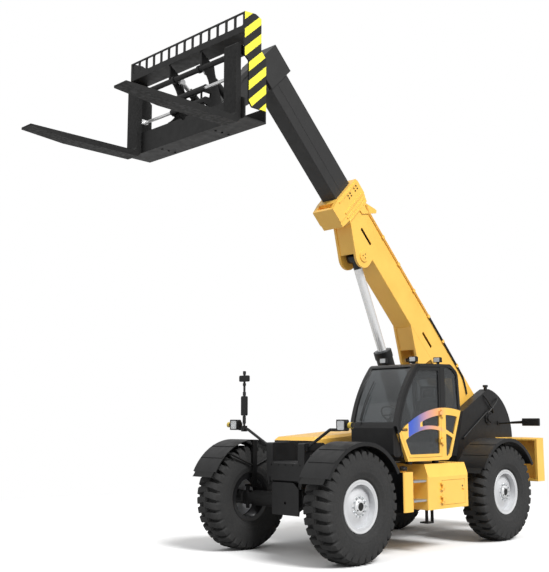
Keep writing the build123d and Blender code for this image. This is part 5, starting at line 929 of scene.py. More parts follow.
@dataclass
class Fender:
    """Rolled edge, ribs and front flap of one wheel's fender.

    Attributes:
        corner: Which wheel.
        axle_x: Place of its axle.
        side: 1 on the left, -1 on the right.
        radius: Inner radius of the sheet.
        sheet: Thickness of the sheet.
        outer_y: Outer edge.
        inner_y: Inner edge.
        first: Angle of the sheet's front end, from the front.
        sweep: Angle that the rolled edge covers.
        ribs: Angles at which the ribs start.
        rib_width: Angle that a rib covers.
    """

    corner: str
    axle_x: float
    side: int
    radius: float = 0.893
    sheet: float = 0.012
    outer_y: float = 1.421
    inner_y: float = 0.881
    first: float = 28.0
    sweep: float = 122.0
    ribs: tuple[float, ...] = (44.0, 62.0, 104.0, 132.0)
    rib_width: float = 2.6

    def place(self, degrees: float, radius: float, y: float) -> Corner:
        """Place on the fender at an angle from the front."""
        angle = math.radians(degrees)
        return (self.axle_x + radius * math.cos(angle), self.side * y, AXLE_Z + radius * math.sin(angle))

    def edge(self) -> Shape:
        """Bead of the rolled outer edge, ribs over the sheet, and the bar in its front end."""
        bead_radius, bead_y, steps = self.radius - 0.040, self.outer_y - 0.0075, 40
        angles = [self.first + step * self.sweep / steps for step in range(steps + 1)]
        shape = Shape().line([self.place(angle, bead_radius, bead_y) for angle in angles], 0.0070, False)
        low, high = self.radius + self.sheet - 0.002, self.radius + self.sheet + 0.007
        for start in self.ribs:
            end = start + self.rib_width
            section = ((start, low), (end, low), (end, high), (start, high))
            shape.loft([[self.place(angle, radius, y) for angle, radius in section]
                        for y in (self.inner_y + 0.03, self.outer_y - 0.012)])
        bar_ends = [self.place(self.first + 1.0, self.radius - 0.016, y)
                    for y in (self.inner_y + 0.02, self.outer_y - 0.02)]
        return shape.bar(*bar_ends, 0.013)

    def flap(self) -> Shape:
        """Rubber flap that hangs from the front end and sags away from the tyre."""
        inner, outer, thick, steps = self.inner_y + 0.05, self.outer_y - 0.05, 0.006, 8
        rings = []
        for step in range(steps + 1):
            sag = step / steps
            x, _, z = self.place(self.first + 3 - 9 * sag, self.radius + 0.004 + 0.020 * sag * sag, 0)
            rings.append([(x + depth, self.side * y, z)
                          for y, depth in ((inner, 0.0), (inner, thick), (outer, thick), (outer, 0.0))])
        return Shape().loft(rings)

    def build(self) -> None:
        """Make the fender's edge and its flap."""
        body = f"steering_{self.corner}"
        mount(self.edge().to_mesh(f"fender_edge_{self.corner}", 30.0), body, Finishes.BLACK)
        mount(self.flap().to_mesh(f"fender_flap_{self.corner}", 60.0), body, Finishes.FLAP)


# ---------------------------------------------------------------- boom and its cylinders
@dataclass
class Boom:
    """What is bolted, clamped or welded to the two boom sections and to the cylinders.

    Attributes:
        degrees: Angle of the boom over the level.
        base_half: Half the width of the base section.
        collar_half: Half the width of its collar.
        inner_half: Half the width of the inner section.
        pipe_squares: Distances of the two pipes from the pivot's axis, square to the boom.
        clamps: Places of the pipe clamps along the boom.
        collar_end: First and last place of the wear pads along the boom.
        lift_eye: Place of the lift cylinder's pin along the boom and square to it.
        levelling_eye: The same for the levelling cylinder.
    """

    degrees: float = 45.0
    base_half: float = 0.195
    collar_half: float = 0.225
    inner_half: float = 0.1495
    pipe_squares: tuple[float, ...] = (0.222, 0.246)
    clamps: tuple[float, ...] = (1.1, 1.7, 2.3, 2.9, 3.5, 4.1)
    collar_end: tuple[float, float] = (5.150, 5.284)
    lift_eye: tuple[float, float] = (4.210, -0.409)
    levelling_eye: tuple[float, float] = (1.940, -0.492)

    def at(self, along: float, square: float, y: float) -> Corner:
        """Place in the boom's own directions: along it, square to it, and sideways."""
        angle = math.radians(self.degrees)
        return (BOOM_PIVOT[0] + along * math.cos(angle) - square * math.sin(angle), y,
                BOOM_PIVOT[1] + along * math.sin(angle) + square * math.cos(angle))

    def plate(self, shape: Shape, low: tuple[float, float], high: tuple[float, float],
              low_y: float, high_y: float) -> None:
        """Add a rectangular plate between two corners, each given along and square to the boom."""
        outline = (low, (high[0], low[1]), high, (low[0], high[1]))
        shape.prism(outline, self.at, low_y, high_y)

    def pipes(self) -> None:
        """Pair of hydraulic pipes along the upper left edge, in clamps."""
        lower, upper, clamps = Shape(), Shape(), Shape()
        y = self.base_half + 0.013
        joint = 2.33
        for square in self.pipe_squares:
            lower.line([self.at(0.55, square - 0.16, y), self.at(0.75, square - 0.05, y),
                        self.at(0.95, square, y), self.at(joint, square, y)], 0.0095)
            upper.line([self.at(joint, square, y), self.at(4.60, square, y),
                        self.at(4.72, square, y + 0.004), self.at(4.80, square + 0.02, y + 0.020)], 0.0085)
        for along in self.clamps:
            self.plate(clamps, (along, 0.205), (along + 0.05, 0.262), self.base_half - 0.002,
                       self.base_half + 0.026)
        mount(lower.to_mesh("boom_pipes"), "boom", Finishes.BLACK)
        mount(upper.to_mesh("boom_painted_pipes"), "boom", Finishes.YELLOW)
        mount(clamps.to_mesh("boom_pipe_clamps"), "boom", Finishes.YELLOW)

    def fasteners(self) -> None:
        """Bolts of the wear pads on the collar, and of the lift pin's keepers."""
        meshes = []
        for side in SIDES:
            for along in (5.135, 5.185):
                for square in (0.262, 0.045):
                    start = Vector(self.at(along, square, side * self.collar_half))
                    step = Vector(self.at(along, square - 0.075, side * self.collar_half)) - start
                    row = Repeat(Layout.ROW, 2, tuple(start), tuple(step))
                    meshes.append(row.mesh("pad_bolts", bolt(0.011, 0.011, (0, side, 0)), Finishes.BLACK))
            ring = Repeat(Layout.RING, 3, self.at(*self.lift_eye, side * (self.base_half + 0.020)), ACROSS)
            one = Shape().bar((0.037, 0, 0), (0.037, side * 0.009, 0), 0.009, HEXAGON)
            meshes.append(ring.mesh("keeper_bolts", one, Finishes.BLACK))
        mount(joined("boom_bolts", meshes), "boom", Finishes.BLACK)

    def pads(self) -> None:
        """Ends of the wear pads between the two sections: two on each cheek, two above and two below."""
        start, end = self.collar_end
        pads = Shape()
        for side in SIDES:
            for low, high in ((0.120, 0.225), (-0.225, -0.120)):
                self.plate(pads, (start, low), (end, high), side * 0.1512, side * 0.1552)
            for low_y, high_y in ((0.045, 0.135), (-0.135, -0.045)):
                self.plate(pads, (start, side * 0.2437), (end, side * 0.2477), low_y, high_y)
        mount(pads.to_mesh("collar_wear_pads"), "boom", Finishes.NYLON)

    def seams(self) -> None:
        """Weld beads along the folded sides of the inner section."""
        inner = Shape()
        for side in SIDES:
            self.plate(inner, (2.30, -0.058), (7.37, -0.046), side * self.inner_half,
                       side * (self.inner_half + 0.003))
        mount(inner.to_mesh("inner_boom_seams"), "boom_extension", Finishes.BOOM_DARK)

    def cylinders(self) -> None:
        """Ports, pipes and glands of the lift and levelling cylinders."""
        for name, foot, eye, length, radius in (
            ("lift", Vector((-2.373, 0, 1.160)), self.lift_eye, 2.230, 0.145),
            ("levelling", Vector((-3.223, 0, 1.330)), self.levelling_eye, 1.160, 0.075),
        ):
            run = (Vector(self.at(*eye, 0.0)) - foot).normalized()
            up = Vector((-run.z, 0, run.x))
            head, tail = foot + run * (length - 0.10), foot + run * (radius * 2.2)
            shape = Shape()
            for end in (head, tail):
                for low, high, thick, sides in ((-0.01, 0.035, 0.022, 16), (0.030, 0.046, 0.017, HEXAGON)):
                    shape.bar(tuple(end + up * (radius + low)), tuple(end + up * (radius + high)), thick,
                              sides)
            aside = Vector((0, 0.03, 0))
            route = (tail + up * (radius + 0.040), tail + aside + up * (radius + 0.044) + run * 0.05,
                     tail + aside + up * (radius + 0.030) + run * 0.15,
                     head + aside + up * (radius + 0.030) - run * 0.20)
            shape.line([tuple(point) for point in route], 0.011)
            mount(shape.to_mesh(f"{name}_ports"), f"{name}_cylinder", Finishes.BLACK)
            gland, thick = Shape(), 0.006
            for step in range(3):
                low = foot + run * (length + 0.0055 + step * thick)
                gland.bar(tuple(low), tuple(low + run * thick), radius - 0.01 - step * 0.02, 40)
            mount(gland.to_mesh(f"{name}_gland"), f"{name}_cylinder", Finishes.CHROME_DULL)

    def build(self) -> None:
        """Make every fitting of the boom."""
        self.pipes()
        self.fasteners()
        self.pads()
        self.seams()
        self.cylinders()


# ---------------------------------------------------------------- lamps, mirrors, hood and steps
@dataclass
class Lights:
    """Lenses of the headlamps, side lamps and work lamps, and the mirrors' glass.

    Attributes:
        lamp_x: Front of the headlamps.
        lamp_y: Distance of their middle from the machine's.
        lamp_z: Height of their middle.
        ridge_pitch: Distance between the flutes of a lens.
        side_lamp_x: Middle of the side lamps.
        roof_slope: Rise of the cab's roof to the rear.
        roof_lamps: Places of the lamps on the roof: behind the cab's front, and sideways.
        pole_x: Middle of the mirror pole.
        mirror_x: Back and front of the mirrors' glass.
        mirror_y: Middle of the mirror pole and its mirrors.
    """

    lamp_x: float = 0.952
    lamp_y: float = 1.140
    lamp_z: float = 1.945
    ridge_pitch: float = 0.0135
    side_lamp_x: float = 0.902
    roof_slope: float = 0.025 / 0.919
    roof_lamps: tuple[tuple[float, float], ...] = ((0.680, 0.565), (0.680, 1.160), (1.330, 1.160))
    pole_x: float = 0.892
    mirror_x: tuple[float, float] = (0.8675, 0.8715)
    mirror_y: float = -0.955

    def rounded(self, shape: Shape, centre: tuple[float, float], half: tuple[float, float],
                span_x: tuple[float, float], corner: float) -> None:
        """Add a rounded rectangular slab square to the machine's length.

        Args:
            shape: Shape that gets the slab.
            centre: y and z of its middle.
            half: Half its width and half its height.
            span_x: Its rear and front.
            corner: Radius of its corners.
        """
        outline = []
        for quarter, (sign_y, sign_z) in enumerate(((1, 1), (-1, 1), (-1, -1), (1, -1))):
            for step in range(7):
                angle = math.radians(quarter * 90 + step * 15)
                outline.append((sign_y * (half[0] - corner) + corner * math.cos(angle),
                                sign_z * (half[1] - corner) + corner * math.sin(angle)))
        shape.prism(outline, lambda y, z, x: (x, centre[0] + y, centre[1] + z), *span_x)

    def head(self) -> None:
        """Headlamp lenses with their rims, and amber side lamps."""
        lens, rim, amber = Shape(), Shape(), Shape()
        inner, outer = 0.067, 0.081
        for side in SIDES:
            middle = side * self.lamp_y
            self.rounded(lens, (middle, self.lamp_z), (0.066, 0.066),
                         (self.lamp_x - 0.002, self.lamp_x + 0.005), 0.024)
            for ridge in range(-4, 5):
                low, high = ((self.lamp_x + 0.004, middle + ridge * self.ridge_pitch, self.lamp_z + end)
                             for end in (-0.055, 0.055))
                lens.bar(low, high, 0.0035, 8)
            for low_z, high_z, low_y, high_y in (
                (inner, outer, -outer, outer), (-outer, -inner, -outer, outer),
                (-inner, inner, inner, outer), (-inner, inner, -outer, -inner),
            ):
                rim.block((self.lamp_x - 0.002, middle + low_y, self.lamp_z + low_z),
                          (self.lamp_x + 0.010, middle + high_y, self.lamp_z + high_z))
            amber.bar((self.side_lamp_x, side * (self.lamp_y + 0.118), self.lamp_z),
                      (self.side_lamp_x, side * (self.lamp_y + 0.176), self.lamp_z), 0.0435, 32)
        mount(lens.to_mesh("headlamp_lenses"), "chassis", Finishes.LENS)
        mount(rim.to_mesh("headlamp_rims"), "chassis", Finishes.BLACK)
        mount(amber.to_mesh("side_lamp_lenses"), "chassis", Finishes.AMBER)

    def work(self) -> None:
        """Lenses of the lamps on the cab's roof."""
        lens = Shape()
        for back, y in self.roof_lamps:
            rise = 1.492 + (back - 0.531) * self.roof_slope
            x = CAB_FRONT_X - back + 0.035
            self.rounded(lens, (y, CAB_FLOOR_Z + rise + 0.075), (0.052, 0.034), (x - 0.003, x + 0.006), 0.012)
        mount(lens.to_mesh("work_lamp_lenses"), "chassis", Finishes.LENS)

    def mirrors(self) -> None:
        """Mirror glass, the pole's rubber sleeve and its joints."""
        glass, sleeve = Shape(), Shape()
        for rise, half, corner in ((0.300, (0.050, 0.145), 0.020), (0.735, (0.095, 0.040), 0.018)):
            self.rounded(glass, (self.mirror_y, self.lamp_z + rise), half, self.mirror_x, corner)
        for low, high, radius in ((0.02, 0.14, 0.027), (0.46, 0.52, 0.026), (0.62, 0.66, 0.026),
                                  (0.80, 0.852, 0.025)):
            sleeve.bar((self.pole_x, self.mirror_y, self.lamp_z + low),
                       (self.pole_x, self.mirror_y, self.lamp_z + high), radius, 24)
        mount(glass.to_mesh("mirror_glass"), "chassis", Finishes.MIRROR)
        mount(sleeve.to_mesh("mirror_sleeves"), "chassis", Finishes.PLASTIC)

    def build(self) -> None:
        """Make every lens and mirror."""
        self.head()
        self.work()
        self.mirrors()


@dataclass
class Body:
    """Hood grille, catches, filler cap, rails, nose fittings, valve block and hoses of the chassis.

    Attributes:
        grille_x: Back and front of the grille's frame.
        grille_y: Its right and left edges.
        grille_z: Its lower and upper edges.
        slats: Slats of the grille.
        catch_x: Places of the hood's catches.
        unions: Places across the deck of the valve block's unions and hoses.
        pin_bolts: Bolts round each end of the boom's pivot pin.
    """

    grille_x: tuple[float, float] = (-0.169, -0.150)
    grille_y: tuple[float, float] = (-1.26, -0.50)
    grille_z: tuple[float, float] = (1.120, 1.545)
    slats: int = 9
    catch_x: tuple[float, ...] = (-0.55, -1.55)
    unions: tuple[float, ...] = (-0.10, -0.035, 0.035, 0.10)
    pin_bolts: int = 6

    def hood(self) -> None:
        """Grille slats at the front of the engine bay, and the hood's rubber catches."""
        slat = Shape().block((0.0, -0.36, 0.0), (0.012, 0.36, 0.020))
        (back, front), (right, left), (low, high) = self.grille_x, self.grille_y, self.grille_z
        row = Repeat(Layout.ROW, self.slats, (back, (right + left) / 2, low + 0.030), (0.0, 0.0, 0.042))
        border, width = Shape(), 0.020
        for low_y, high_y, low_z, high_z in (
            (right, right + width, low + 0.005, high - 0.005),
            (left - width, left, low + 0.005, high - 0.005),
            (right, left, low, low + width), (right, left, high - width, high),
        ):
            border.block((back, low_y, low_z), (front, high_y, high_z))
        meshes = [row.mesh("slats", slat, Finishes.PLASTIC), border.to_mesh("grille_frame")]
        mount(joined("hood_grille", meshes), "chassis", Finishes.PLASTIC)
        catches = Shape()
        for x in self.catch_x:
            catches.block((x - 0.03, -1.352, 1.500), (x + 0.03, -1.339, 1.556))
            catches.bar((x, -1.352, 1.530), (x, -1.360, 1.530), 0.012, 16)
        mount(catches.to_mesh("hood_catches"), "chassis", Finishes.PLASTIC)

    def side_box(self) -> None:
        """Black filler cap of the tank, and the lock of the box door."""
        cap = Shape().bar((-0.3555, 1.239, 1.276), (-0.3475, 1.247, 1.314), 0.0595, 40)
        cap.bar((-0.3478, 1.2467, 1.313), (-0.3465, 1.248, 1.320), 0.050, 40, 0.044)
        mount(cap.to_mesh("filler_cap"), "chassis", Finishes.PLASTIC)
        lock = Shape().bar((-1.730, 1.3605, 0.984), (-1.730, 1.366, 0.984), 0.014, 24)
        lock.block((-1.762, 1.352, 0.974), (-1.700, 1.358, 0.994))
        mount(lock.to_mesh("box_lock"), "box_door", Finishes.BLACK)

    def rails(self) -> None:
        """Grab rail before the door, and the nose's post, hooks and bolts."""
        rail = Shape().line([(-0.205, 1.300, 1.475), (-0.180, 1.345, 1.480), (-0.170, 1.360, 1.52),
                             (-0.125, 1.360, 1.72), (-0.112, 1.360, 1.80), (-0.112, 1.345, 1.84),
                             (-0.150, 1.300, 1.845)], 0.012)
        mount(rail.to_mesh("grab_rail"), "chassis", Finishes.BLACK)
        nose = Shape()
        for low, high, radius in ((1.395, 1.600, 0.020), (1.590, 1.630, 0.030)):
            nose.bar((0.895, 0.345, low), (0.895, 0.345, high), radius)
        for y in (-0.34, 0.34):
            nose.block((0.925, y - 0.022, 1.05), (0.945, y + 0.022, 1.17), 0.006)
        mount(nose.to_mesh("nose_fittings"), "chassis", Finishes.BLACK)
        studs = Repeat(Layout.ROW, 5, (0.9325, -0.30, 1.350), (0.0, 0.15, 0.0))
        mount(studs.mesh("nose_bolts", bolt(0.012, 0.010, ALONG), Finishes.BLACK), "chassis", Finishes.BLACK)

    def deck(self) -> None:
        """Valve block with its fittings and hoses on the deck behind the nose."""
        block = Shape()
        block.block((0.18, -0.15, 1.02), (0.46, 0.15, 1.20), 0.008)
        for y in self.unions:
            block.bar((0.25, y, 1.19), (0.25, y, 1.275), 0.022, 16)
            block.bar((0.39, y, 1.19), (0.39, y, 1.240), 0.018, HEXAGON)
        mount(block.to_mesh("valve_block"), "chassis", Finishes.CAST)
        hoses = Shape()
        for index, y in enumerate(self.unions):
            # The hoses draw together to the rear, and each bends a little later than the last.
            near, far = y * 0.9, y * 0.8
            hoses.line([(0.39, y, 1.235), (0.39, y, 1.30 + 0.01 * index), (0.34, y, 1.345),
                        (0.20, near, 1.33), (0.02, near, 1.22), (-0.09 - 0.02 * index, far, 1.10),
                        (-0.40, far, 1.04), (-0.90, far, 1.04)], 0.013)
        mount(hoses.to_mesh("deck_hoses"), "chassis", Finishes.HOSE)

    def tower(self) -> None:
        """Hoses and marker sleeve on the left face of the tower, and the pivot pin's bolts."""
        hoses = Shape()
        for route in (
            [(-3.880, 0.448, 2.475), (-3.920, 0.478, 2.420), (-4.030, 0.482, 2.310), (-4.150, 0.470, 2.205),
             (-4.190, 0.446, 2.160)],
            [(-4.345, 0.448, 2.425), (-4.300, 0.478, 2.395), (-4.150, 0.496, 2.285), (-4.010, 0.470, 2.175),
             (-3.965, 0.446, 2.130)],
        ):
            hoses.line(route, 0.014)
        mount(hoses.to_mesh("tower_hoses"), "chassis", Finishes.HOSE)
        meshes = []
        pivot_x, pivot_z = BOOM_PIVOT
        for side in SIDES:
            one = Shape().bar((0.088, 0, 0), (0.088, side * 0.010, 0), 0.013, HEXAGON)
            ring = Repeat(Layout.RING, self.pin_bolts, (pivot_x, side * 0.4605, pivot_z), ACROSS)
            meshes.append(ring.mesh("pin_bolts", one, Finishes.BLACK))
        mount(joined("pivot_bolts", meshes), "chassis", Finishes.BLACK)
        grip = Shape().bar((-4.373, 0.700, 1.9735), (-4.373, 0.945, 1.984), 0.021, 24, 0.027)
        mount(grip.to_mesh("marker_sleeve"), "chassis", Finishes.PLASTIC)

    def build(self) -> None:
        """Make every fitting of the chassis."""
        self.hood()
        self.side_box()
        self.rails()
        self.deck()
        self.tower()


# ---------------------------------------------------------------- cab
@dataclass
class Cushion:
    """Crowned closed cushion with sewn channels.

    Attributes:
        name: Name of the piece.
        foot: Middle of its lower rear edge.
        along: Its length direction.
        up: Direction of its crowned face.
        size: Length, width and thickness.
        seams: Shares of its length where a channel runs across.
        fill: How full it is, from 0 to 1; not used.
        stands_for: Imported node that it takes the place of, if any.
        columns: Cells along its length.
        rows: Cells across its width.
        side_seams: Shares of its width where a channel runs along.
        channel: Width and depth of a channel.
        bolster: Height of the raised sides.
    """

    name: str
    foot: Corner
    along: Vector
    up: Vector
    size: Corner
    seams: Sequence[float]
    fill: float
    stands_for: str = ""
    columns: int = 44
    rows: int = 36
    side_seams: tuple[float, float] = (0.2, 0.8)
    channel: tuple[float, float] = (0.007, 0.010)
    bolster: float = 0.014

    def place(self, u: float, v: float, crowned: int) -> Vector:
        """Place on the cushion.

        Args:
            u: Share of its length.
            v: Share of its width.
            crowned: 1 on the crowned face, 0 on the flat one.

        Returns:
            The place.
        """
        length, width, thick = self.size
        reach_u, reach_v = abs(2 * u - 1), abs(2 * v - 1)
        # Both faces close in to the edge, and the sides pull in between the corners.
        swell = max(0.0, (1 - reach_u ** 6) * (1 - reach_v ** 6)) ** 0.5
        pull = 0.012 * (1 - reach_v ** 2) * reach_u ** 8
        crown = thick * (0.62 + 0.38 * (1 - reach_v ** 2) * (1 - 0.5 * reach_u ** 2))
        height = swell * crown if crowned else -swell * 0.10 * thick
        if crowned:
            channel_width, channel_depth = self.channel
            groove = sum(math.exp(-((u - seam) * length / channel_width) ** 2) for seam in self.seams)
            groove += sum(math.exp(-((v - seam) * width / channel_width) ** 2) for seam in self.side_seams)
            height -= channel_depth * min(groove, 1.0) * swell
            # The sides rise in a smooth step at two thirds of the half width, short of the edge seam.
            if max(reach_u, reach_v) < 0.98:
                height += self.bolster * swell / (1 + math.exp(-(reach_v - 0.66) * 30))
        place = Vector(self.foot) + self.along * (u * length) + self.up * (thick * 0.12 + height)
        place.y += (v - 0.5) * (width - 2 * pull)
        return place

    def build(self) -> None:
        """Make both faces of the cushion as one closed piece."""
        shape = Shape()
        for crowned in (0, 1):
            grid = [[shape.mesh.verts.new(self.place(i / self.columns, j / self.rows, crowned))
                     for j in range(self.rows + 1)] for i in range(self.columns + 1)]
            for here, after in zip(grid, grid[1:]):
                for j in range(self.rows):
                    shape.mesh.faces.new((here[j], after[j], after[j + 1], here[j + 1]))
        piece = mount(shape.to_mesh(self.name, 60.0), "chassis", Finishes.CLOTH, self.stands_for)


@dataclass
class Cab:
    """Seat, wiper, rain strip and door handle plate of the cab.

    Attributes:
        middle_y: Middle of the cab.
        door_y: Middle of the rain strip over the door.
        glass_arc: x, z and radius of the windscreen's curve.
        seat_back: Place of the seat's middle behind the cab's front.
        seat_rise: Height of the seat's shell over the cab's underside.
        lean: Direction of the seat's back, from its foot to its head.
        shell_ribs: Ribs of the shell behind the back cushion.
        rib_height: Height of one of them.
    """

    middle_y: float = 0.8625
    door_y: float = 1.322
    glass_arc: Corner = (-1.983, 1.518, 1.9226)
    seat_back: float = 1.070
    seat_rise: float = 0.382
    lean: Corner = (-0.125, 0.0, 0.68)
    shell_ribs: int = 6
    rib_height: float = 0.130

    def at(self, back: float, rise: float, y: float) -> Corner:
        """Place behind the cab's foremost point and over its underside."""
        return (CAB_FRONT_X - back, y, CAB_FLOOR_Z + rise)

    def seat(self) -> None:
        """Seat cushion, back cushion and head pad, on a moulded shell with a ribbed back."""
        x, y, z = self.at(self.seat_back, self.seat_rise, self.middle_y)
        lean = Vector(self.lean).normalized()
        back = Vector((lean.z, 0, -lean.x))
        seat_way, seat_up = Vector((0.998, 0, 0.06)).normalized(), Vector((-0.06, 0, 0.998)).normalized()
        Cushion("seat_cushion", (x - 0.245, y, z + 0.006), seat_way, seat_up, (0.475, 0.462, 0.088),
                (0.34, 0.66), 0.75, "driver_seat").build()
        Cushion("back_cushion", (x - 0.288, y, z + 0.075), lean, back, (0.500, 0.450, 0.078), (0.30, 0.62),
                0.7).build()
        Cushion("head_pad", (x - 0.384, y, z + 0.590), lean, back, (0.165, 0.260, 0.062), (), 0.8).build()
        shell = Shape().block((x - 0.250, y - 0.225, z - 0.004), (x + 0.235, y + 0.225, z + 0.012), 0.006)
        foot = Vector((x - 0.292, y, z + 0.03))
        for rib in range(self.shell_ribs):
            low = foot + lean * (rib * self.rib_height)
            high = low + lean * self.rib_height
            outline = [low - back * 0.016, high - back * 0.016, high + back * 0.004, low + back * 0.004]
            shell.prism([(p.x, p.z) for p in outline], lambda px, pz, py: (px, py, pz), y - 0.19, y + 0.19)
        mount(shell.to_mesh("seat_shell"), "chassis", Finishes.PLASTIC)

    def on_glass(self, degrees: float, out: float, y: float) -> Corner:
        """Place over the windscreen's curve."""
        x, z, radius = self.glass_arc
        angle = math.radians(degrees)
        return (x + (radius + out) * math.cos(angle), y, z + (radius + out) * math.sin(angle))

    def wiper(self) -> None:
        """Wiper arm and blade on the windscreen."""
        shape = Shape()
        # First angle and step up the glass, height over it, first place across, and thickness.
        for first, step, out, y, radius in ((13, 3, 0.010, 0.62, 0.008), (15, 4, 0.004, 0.60, 0.0065)):
            shape.line([self.on_glass(first + step * index, out, y + 0.012 * index) for index in range(6)],
                       radius)
        mount(shape.to_mesh("windscreen_wiper"), "chassis", Finishes.PLASTIC)

    def trims(self) -> None:
        """Rain strip over the door, and the door's handle plate."""
        strip = Shape().line([self.at(back, rise, self.door_y) for back, rise in (
            (0.60, 1.462), (1.00, 1.474), (1.45, 1.486), (1.60, 1.38))], 0.007)
        mount(strip.to_mesh("rain_strip"), "chassis", Finishes.PLASTIC)
        handle = Shape().block(self.at(0.265, 0.490, 1.3195), self.at(0.125, 0.460, 1.3215), 0.0005)
        mount(handle.to_mesh("door_handle_plate"), "door", Finishes.PLASTIC)

    def build(self) -> None:
        """Make the cab's fittings."""
        self.seat()
        self.wiper()
        self.trims()


# ---------------------------------------------------------------- carriage
@dataclass
class Carriage:
    """Shaft collars, hoses and bolts of the fork carriage.

    Attributes:
        face_x: Front face of the carriage.
        shaft: x and z of the forks' shaft.
        collar_y: Distance of the collars from the carriage's middle.
    """

    face_x: float = 2.9969
    shaft: tuple[float, float] = (2.9349, 6.9601)
    collar_y: float = 0.285

    def collars(self) -> None:
        """Clamp collars on the shaft beside the hangers."""
        shape = Shape()
        x, z = self.shaft
        for side in SIDES:
            y = side * self.collar_y
            shape.bar((x, y - 0.02, z), (x, y + 0.02, z), 0.056, 32)
        mount(shape.to_mesh("shaft_collars"), "fork_carriage", Finishes.BLACK)

    def bolts(self) -> None:
        """Two rows of bolts under the beam."""
        meshes = []
        for side in SIDES:
            row = Repeat(Layout.ROW, 3, (self.face_x - 0.34, side * 0.60, 5.9845), (0.12, 0.0, 0.0))
            meshes.append(row.mesh("beam_bolts", bolt(0.015, 0.012, DOWN), Finishes.BLACK))
        mount(joined("beam_bolts", meshes), "fork_carriage", Finishes.BLACK)

    def hoses(self) -> None:
        """Hoses of the side shift between the hangers."""
        shape = Shape()
        # Distance behind the carriage's face, place across it, and height.
        route = ((0.150, 0.20, 6.680), (0.19, 0.17, 6.75), (0.25, 0.08, 6.78), (0.28, -0.05, 6.72),
                 (0.25, -0.17, 6.60), (0.150, -0.22, 6.515))
        for shift in (0.0, 0.035):
            shape.line([(self.face_x - back, y - shift, z) for back, y, z in route], 0.011)
        mount(shape.to_mesh("shift_hoses"), "fork_carriage", Finishes.HOSE)

    def build(self) -> None:
        """Make the carriage's fittings."""
        self.collars()
        self.bolts()
        self.hoses()


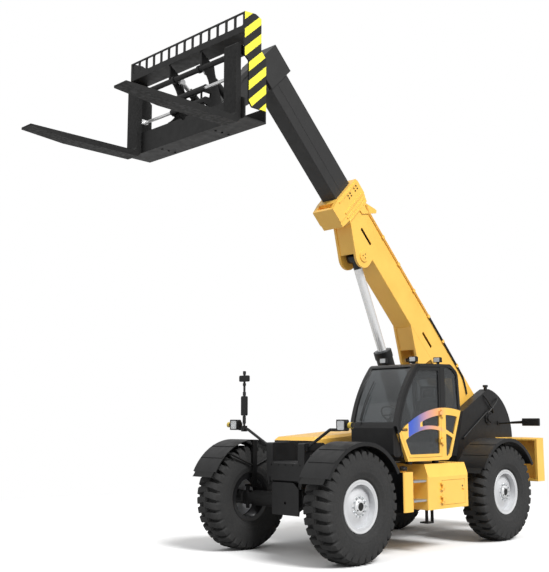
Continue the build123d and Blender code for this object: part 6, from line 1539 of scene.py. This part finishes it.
# ---------------------------------------------------------------- studio
@dataclass
class Studio:
    """Plain floor, white surroundings, soft light and the camera.

    Attributes:
        camera_place: Place of the camera.
        camera_yaw: Way that it looks, about the vertical.
        camera_pitch: How far it looks up.
        lens: Focal length in millimetres.
        reach: Half the width of the floor.
        floor_seen: Grey of the floor to the camera.
        floor_bounce: Grey of the floor to the light that it throws back.
        white_from: Distance from the machine at which the floor starts to turn white.
        white_at: Distance at which it is white.
        low_light: Strength of the light from the horizon.
        high_light: Strength of the light from overhead.
        gloss_light: Least strength of the surroundings in a reflection.
        suns: Name, strength, angle across and direction of each lamp, in degrees.
    """

    camera_place: Corner = (10.7691, 9.7341, 2.0104)
    camera_yaw: float = math.radians(-134.642)
    camera_pitch: float = math.radians(8.507)
    lens: float = 56.67
    reach: float = 60.0
    floor_seen: float = 0.9
    floor_bounce: float = 0.42
    white_from: float = 5.0
    white_at: float = 12.0
    low_light: float = 0.16
    high_light: float = 0.9
    gloss_light: float = 0.42
    suns: tuple[tuple[str, float, float, Corner], ...] = (("key", 3.35, 22.0, (44.0, 0.0, 172.0)),
                                                         ("fill", 0.3, 60.0, (60.0, 0.0, 75.0)))

    def make_camera(self) -> None:
        """Place the camera that shows the machine from its front left."""
        data = bpy.data.cameras.new("camera")
        data.lens = self.lens
        data.sensor_width = 36.0
        camera = bpy.data.objects.new("camera", data)
        bpy.context.scene.collection.objects.link(camera)
        camera.location = self.camera_place
        camera.rotation_euler = (math.pi / 2 + self.camera_pitch, 0.0, self.camera_yaw - math.pi / 2)
        bpy.context.scene.camera = camera

    def make_floor(self) -> None:
        """Pale floor that keeps the machine's shadow and fades to white far off."""
        mesh = bpy.data.meshes.new("floor")
        span = self.reach
        corners = [(-span, -span, 0), (span, -span, 0), (span, span, 0), (-span, span, 0)]
        mesh.from_pydata(corners, [], [(0, 1, 2, 3)])
        floor = bpy.data.objects.new("floor", mesh)
        bpy.context.scene.collection.objects.link(floor)
        material = bpy.data.materials.new("pale studio floor")
        material.use_nodes = True
        tree = material.node_tree
        tree.nodes.clear()
        place = add_node(tree, "ShaderNodeTexCoord").outputs["Object"]
        far = add_node(tree, VECTOR, {0: place}, operation="LENGTH").outputs["Value"]
        fade = add_node(tree, RANGE, {"Value": far, "From Min": self.white_from, "From Max": self.white_at})
        to_camera = add_node(tree, "ShaderNodeLightPath").outputs["Is Camera Ray"]
        greys = {FACTOR: to_camera, UNDER: (*[self.floor_bounce] * 3, 1.0),
                 OVER: (*[self.floor_seen] * 3, 1.0)}
        tone = add_node(tree, MIX, greys, data_type="RGBA").outputs[MIXED]
        matt = add_node(tree, "ShaderNodeBsdfDiffuse", {"Color": tone})
        white = add_node(tree, "ShaderNodeEmission", {"Color": WHITE, "Strength": 1.0})
        seen = add_node(tree, MATH, {0: to_camera, 1: fade}, operation="MULTIPLY")
        mixed = add_node(tree, "ShaderNodeMixShader", {0: seen, 1: matt, 2: white})
        add_node(tree, "ShaderNodeOutputMaterial", {"Surface": mixed})
        mesh.materials.append(material)

    def make_light(self) -> None:
        """Surroundings that are white to the eye and through glass, a broad key light and a weak fill."""
        world = bpy.data.worlds.new("studio")
        bpy.context.scene.world = world
        world.use_nodes = True
        tree = world.node_tree
        tree.nodes.clear()
        rays = add_node(tree, "ShaderNodeLightPath").outputs
        shown = add_node(tree, MATH, {0: rays["Is Camera Ray"], 1: rays["Is Transmission Ray"]},
                         operation="MAXIMUM")
        way = add_node(tree, "ShaderNodeTexCoord").outputs["Generated"]
        rise = add_node(tree, SPLIT, {"Vector": way}).outputs["Z"]
        # From just under the horizon to most of the way overhead.
        dome = add_node(tree, RANGE, {"Value": rise, "From Min": -0.05, "From Max": 0.9,
                                      "To Min": self.low_light, "To Max": self.high_light})
        gloss = add_node(tree, MATH, {0: rays["Is Glossy Ray"], 1: self.gloss_light}, operation="MULTIPLY")
        lit = add_node(tree, MATH, {0: dome, 1: gloss}, operation="MAXIMUM")
        strength = add_node(tree, RANGE, {"Value": shown, "To Min": lit, "To Max": 1.0})
        back = add_node(tree, "ShaderNodeBackground", {"Color": WHITE, "Strength": strength})
        add_node(tree, "ShaderNodeOutputWorld", {"Surface": back})
        for name, energy, angle, turn in self.suns:
            data = bpy.data.lights.new(name, "SUN")
            data.energy = energy
            data.angle = math.radians(angle)
            light = bpy.data.objects.new(name, data)
            bpy.context.scene.collection.objects.link(light)
            light.rotation_euler = [math.radians(part) for part in turn]

    def build(self) -> None:
        """Make the whole studio."""
        self.make_camera()
        self.make_floor()
        self.make_light()
        bpy.context.scene.view_settings.view_transform = "Standard"


def main() -> None:
    """Build the studio, dress the machine and add its fittings."""
    logging.basicConfig(level=logging.INFO, format="%(name)s: %(message)s")
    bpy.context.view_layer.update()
    Studio().build()
    corners = [name for name, _, _ in CORNERS]
    dress(Finishes.YELLOW, "boom_base", "counterweight", "step_box_door")
    dress(Finishes.BOX, "step_box")
    dress(Finishes.HOOD, "engine_hood")
    dress(Finishes.CAB, "cab_frame", "cab_door")
    dress(Finishes.BOOM_DARK, "boom_inner", "tilt_head")
    dress(Finishes.TOWER, "chassis")
    dress(Finishes.BLACK, "engine_bay", "headlamps", "lift_barrel", "levelling_barrel", "tilt_barrel",
          "low_step", "positioner_barrels", *(f"fender_{corner}" for corner in corners))
    dress(Finishes.CAST, "front_axle", "rear_axle", "drive_line", "engine_block",
          *(f"knuckle_{corner}" for corner in corners))
    dress(Finishes.PLASTIC, "mirrors", "cab_interior", "cab_fascia", "work_lamps")
    dress(Finishes.CLOTH, "driver_seat")
    dress(Finishes.GLASS, "cab_glass", "cab_door_glass")
    dress(Finishes.LIFT_ROD, "lift_rod")
    dress(Finishes.LEVELLING_ROD, "levelling_rod")
    dress(Finishes.CHROME, "tilt_rod", "positioner_rod_left", "positioner_rod_right")
    dress(Finishes.ZINC, "step_rungs")
    dress(Finishes.CARRIAGE, "carriage")
    dress(Finishes.FORGED, "fork_left", "fork_right")
    for corner, axle_x, side in CORNERS:
        Wheel(corner, axle_x, side).build()
        Fender(corner, axle_x, side).build()
    Boom().build()
    Lights().build()
    Body().build()
    Cab().build()
    Carriage().build()
    bpy.context.view_layer.update()
    LOG.info("boxes written")


if __name__ == "__main__":
    main()
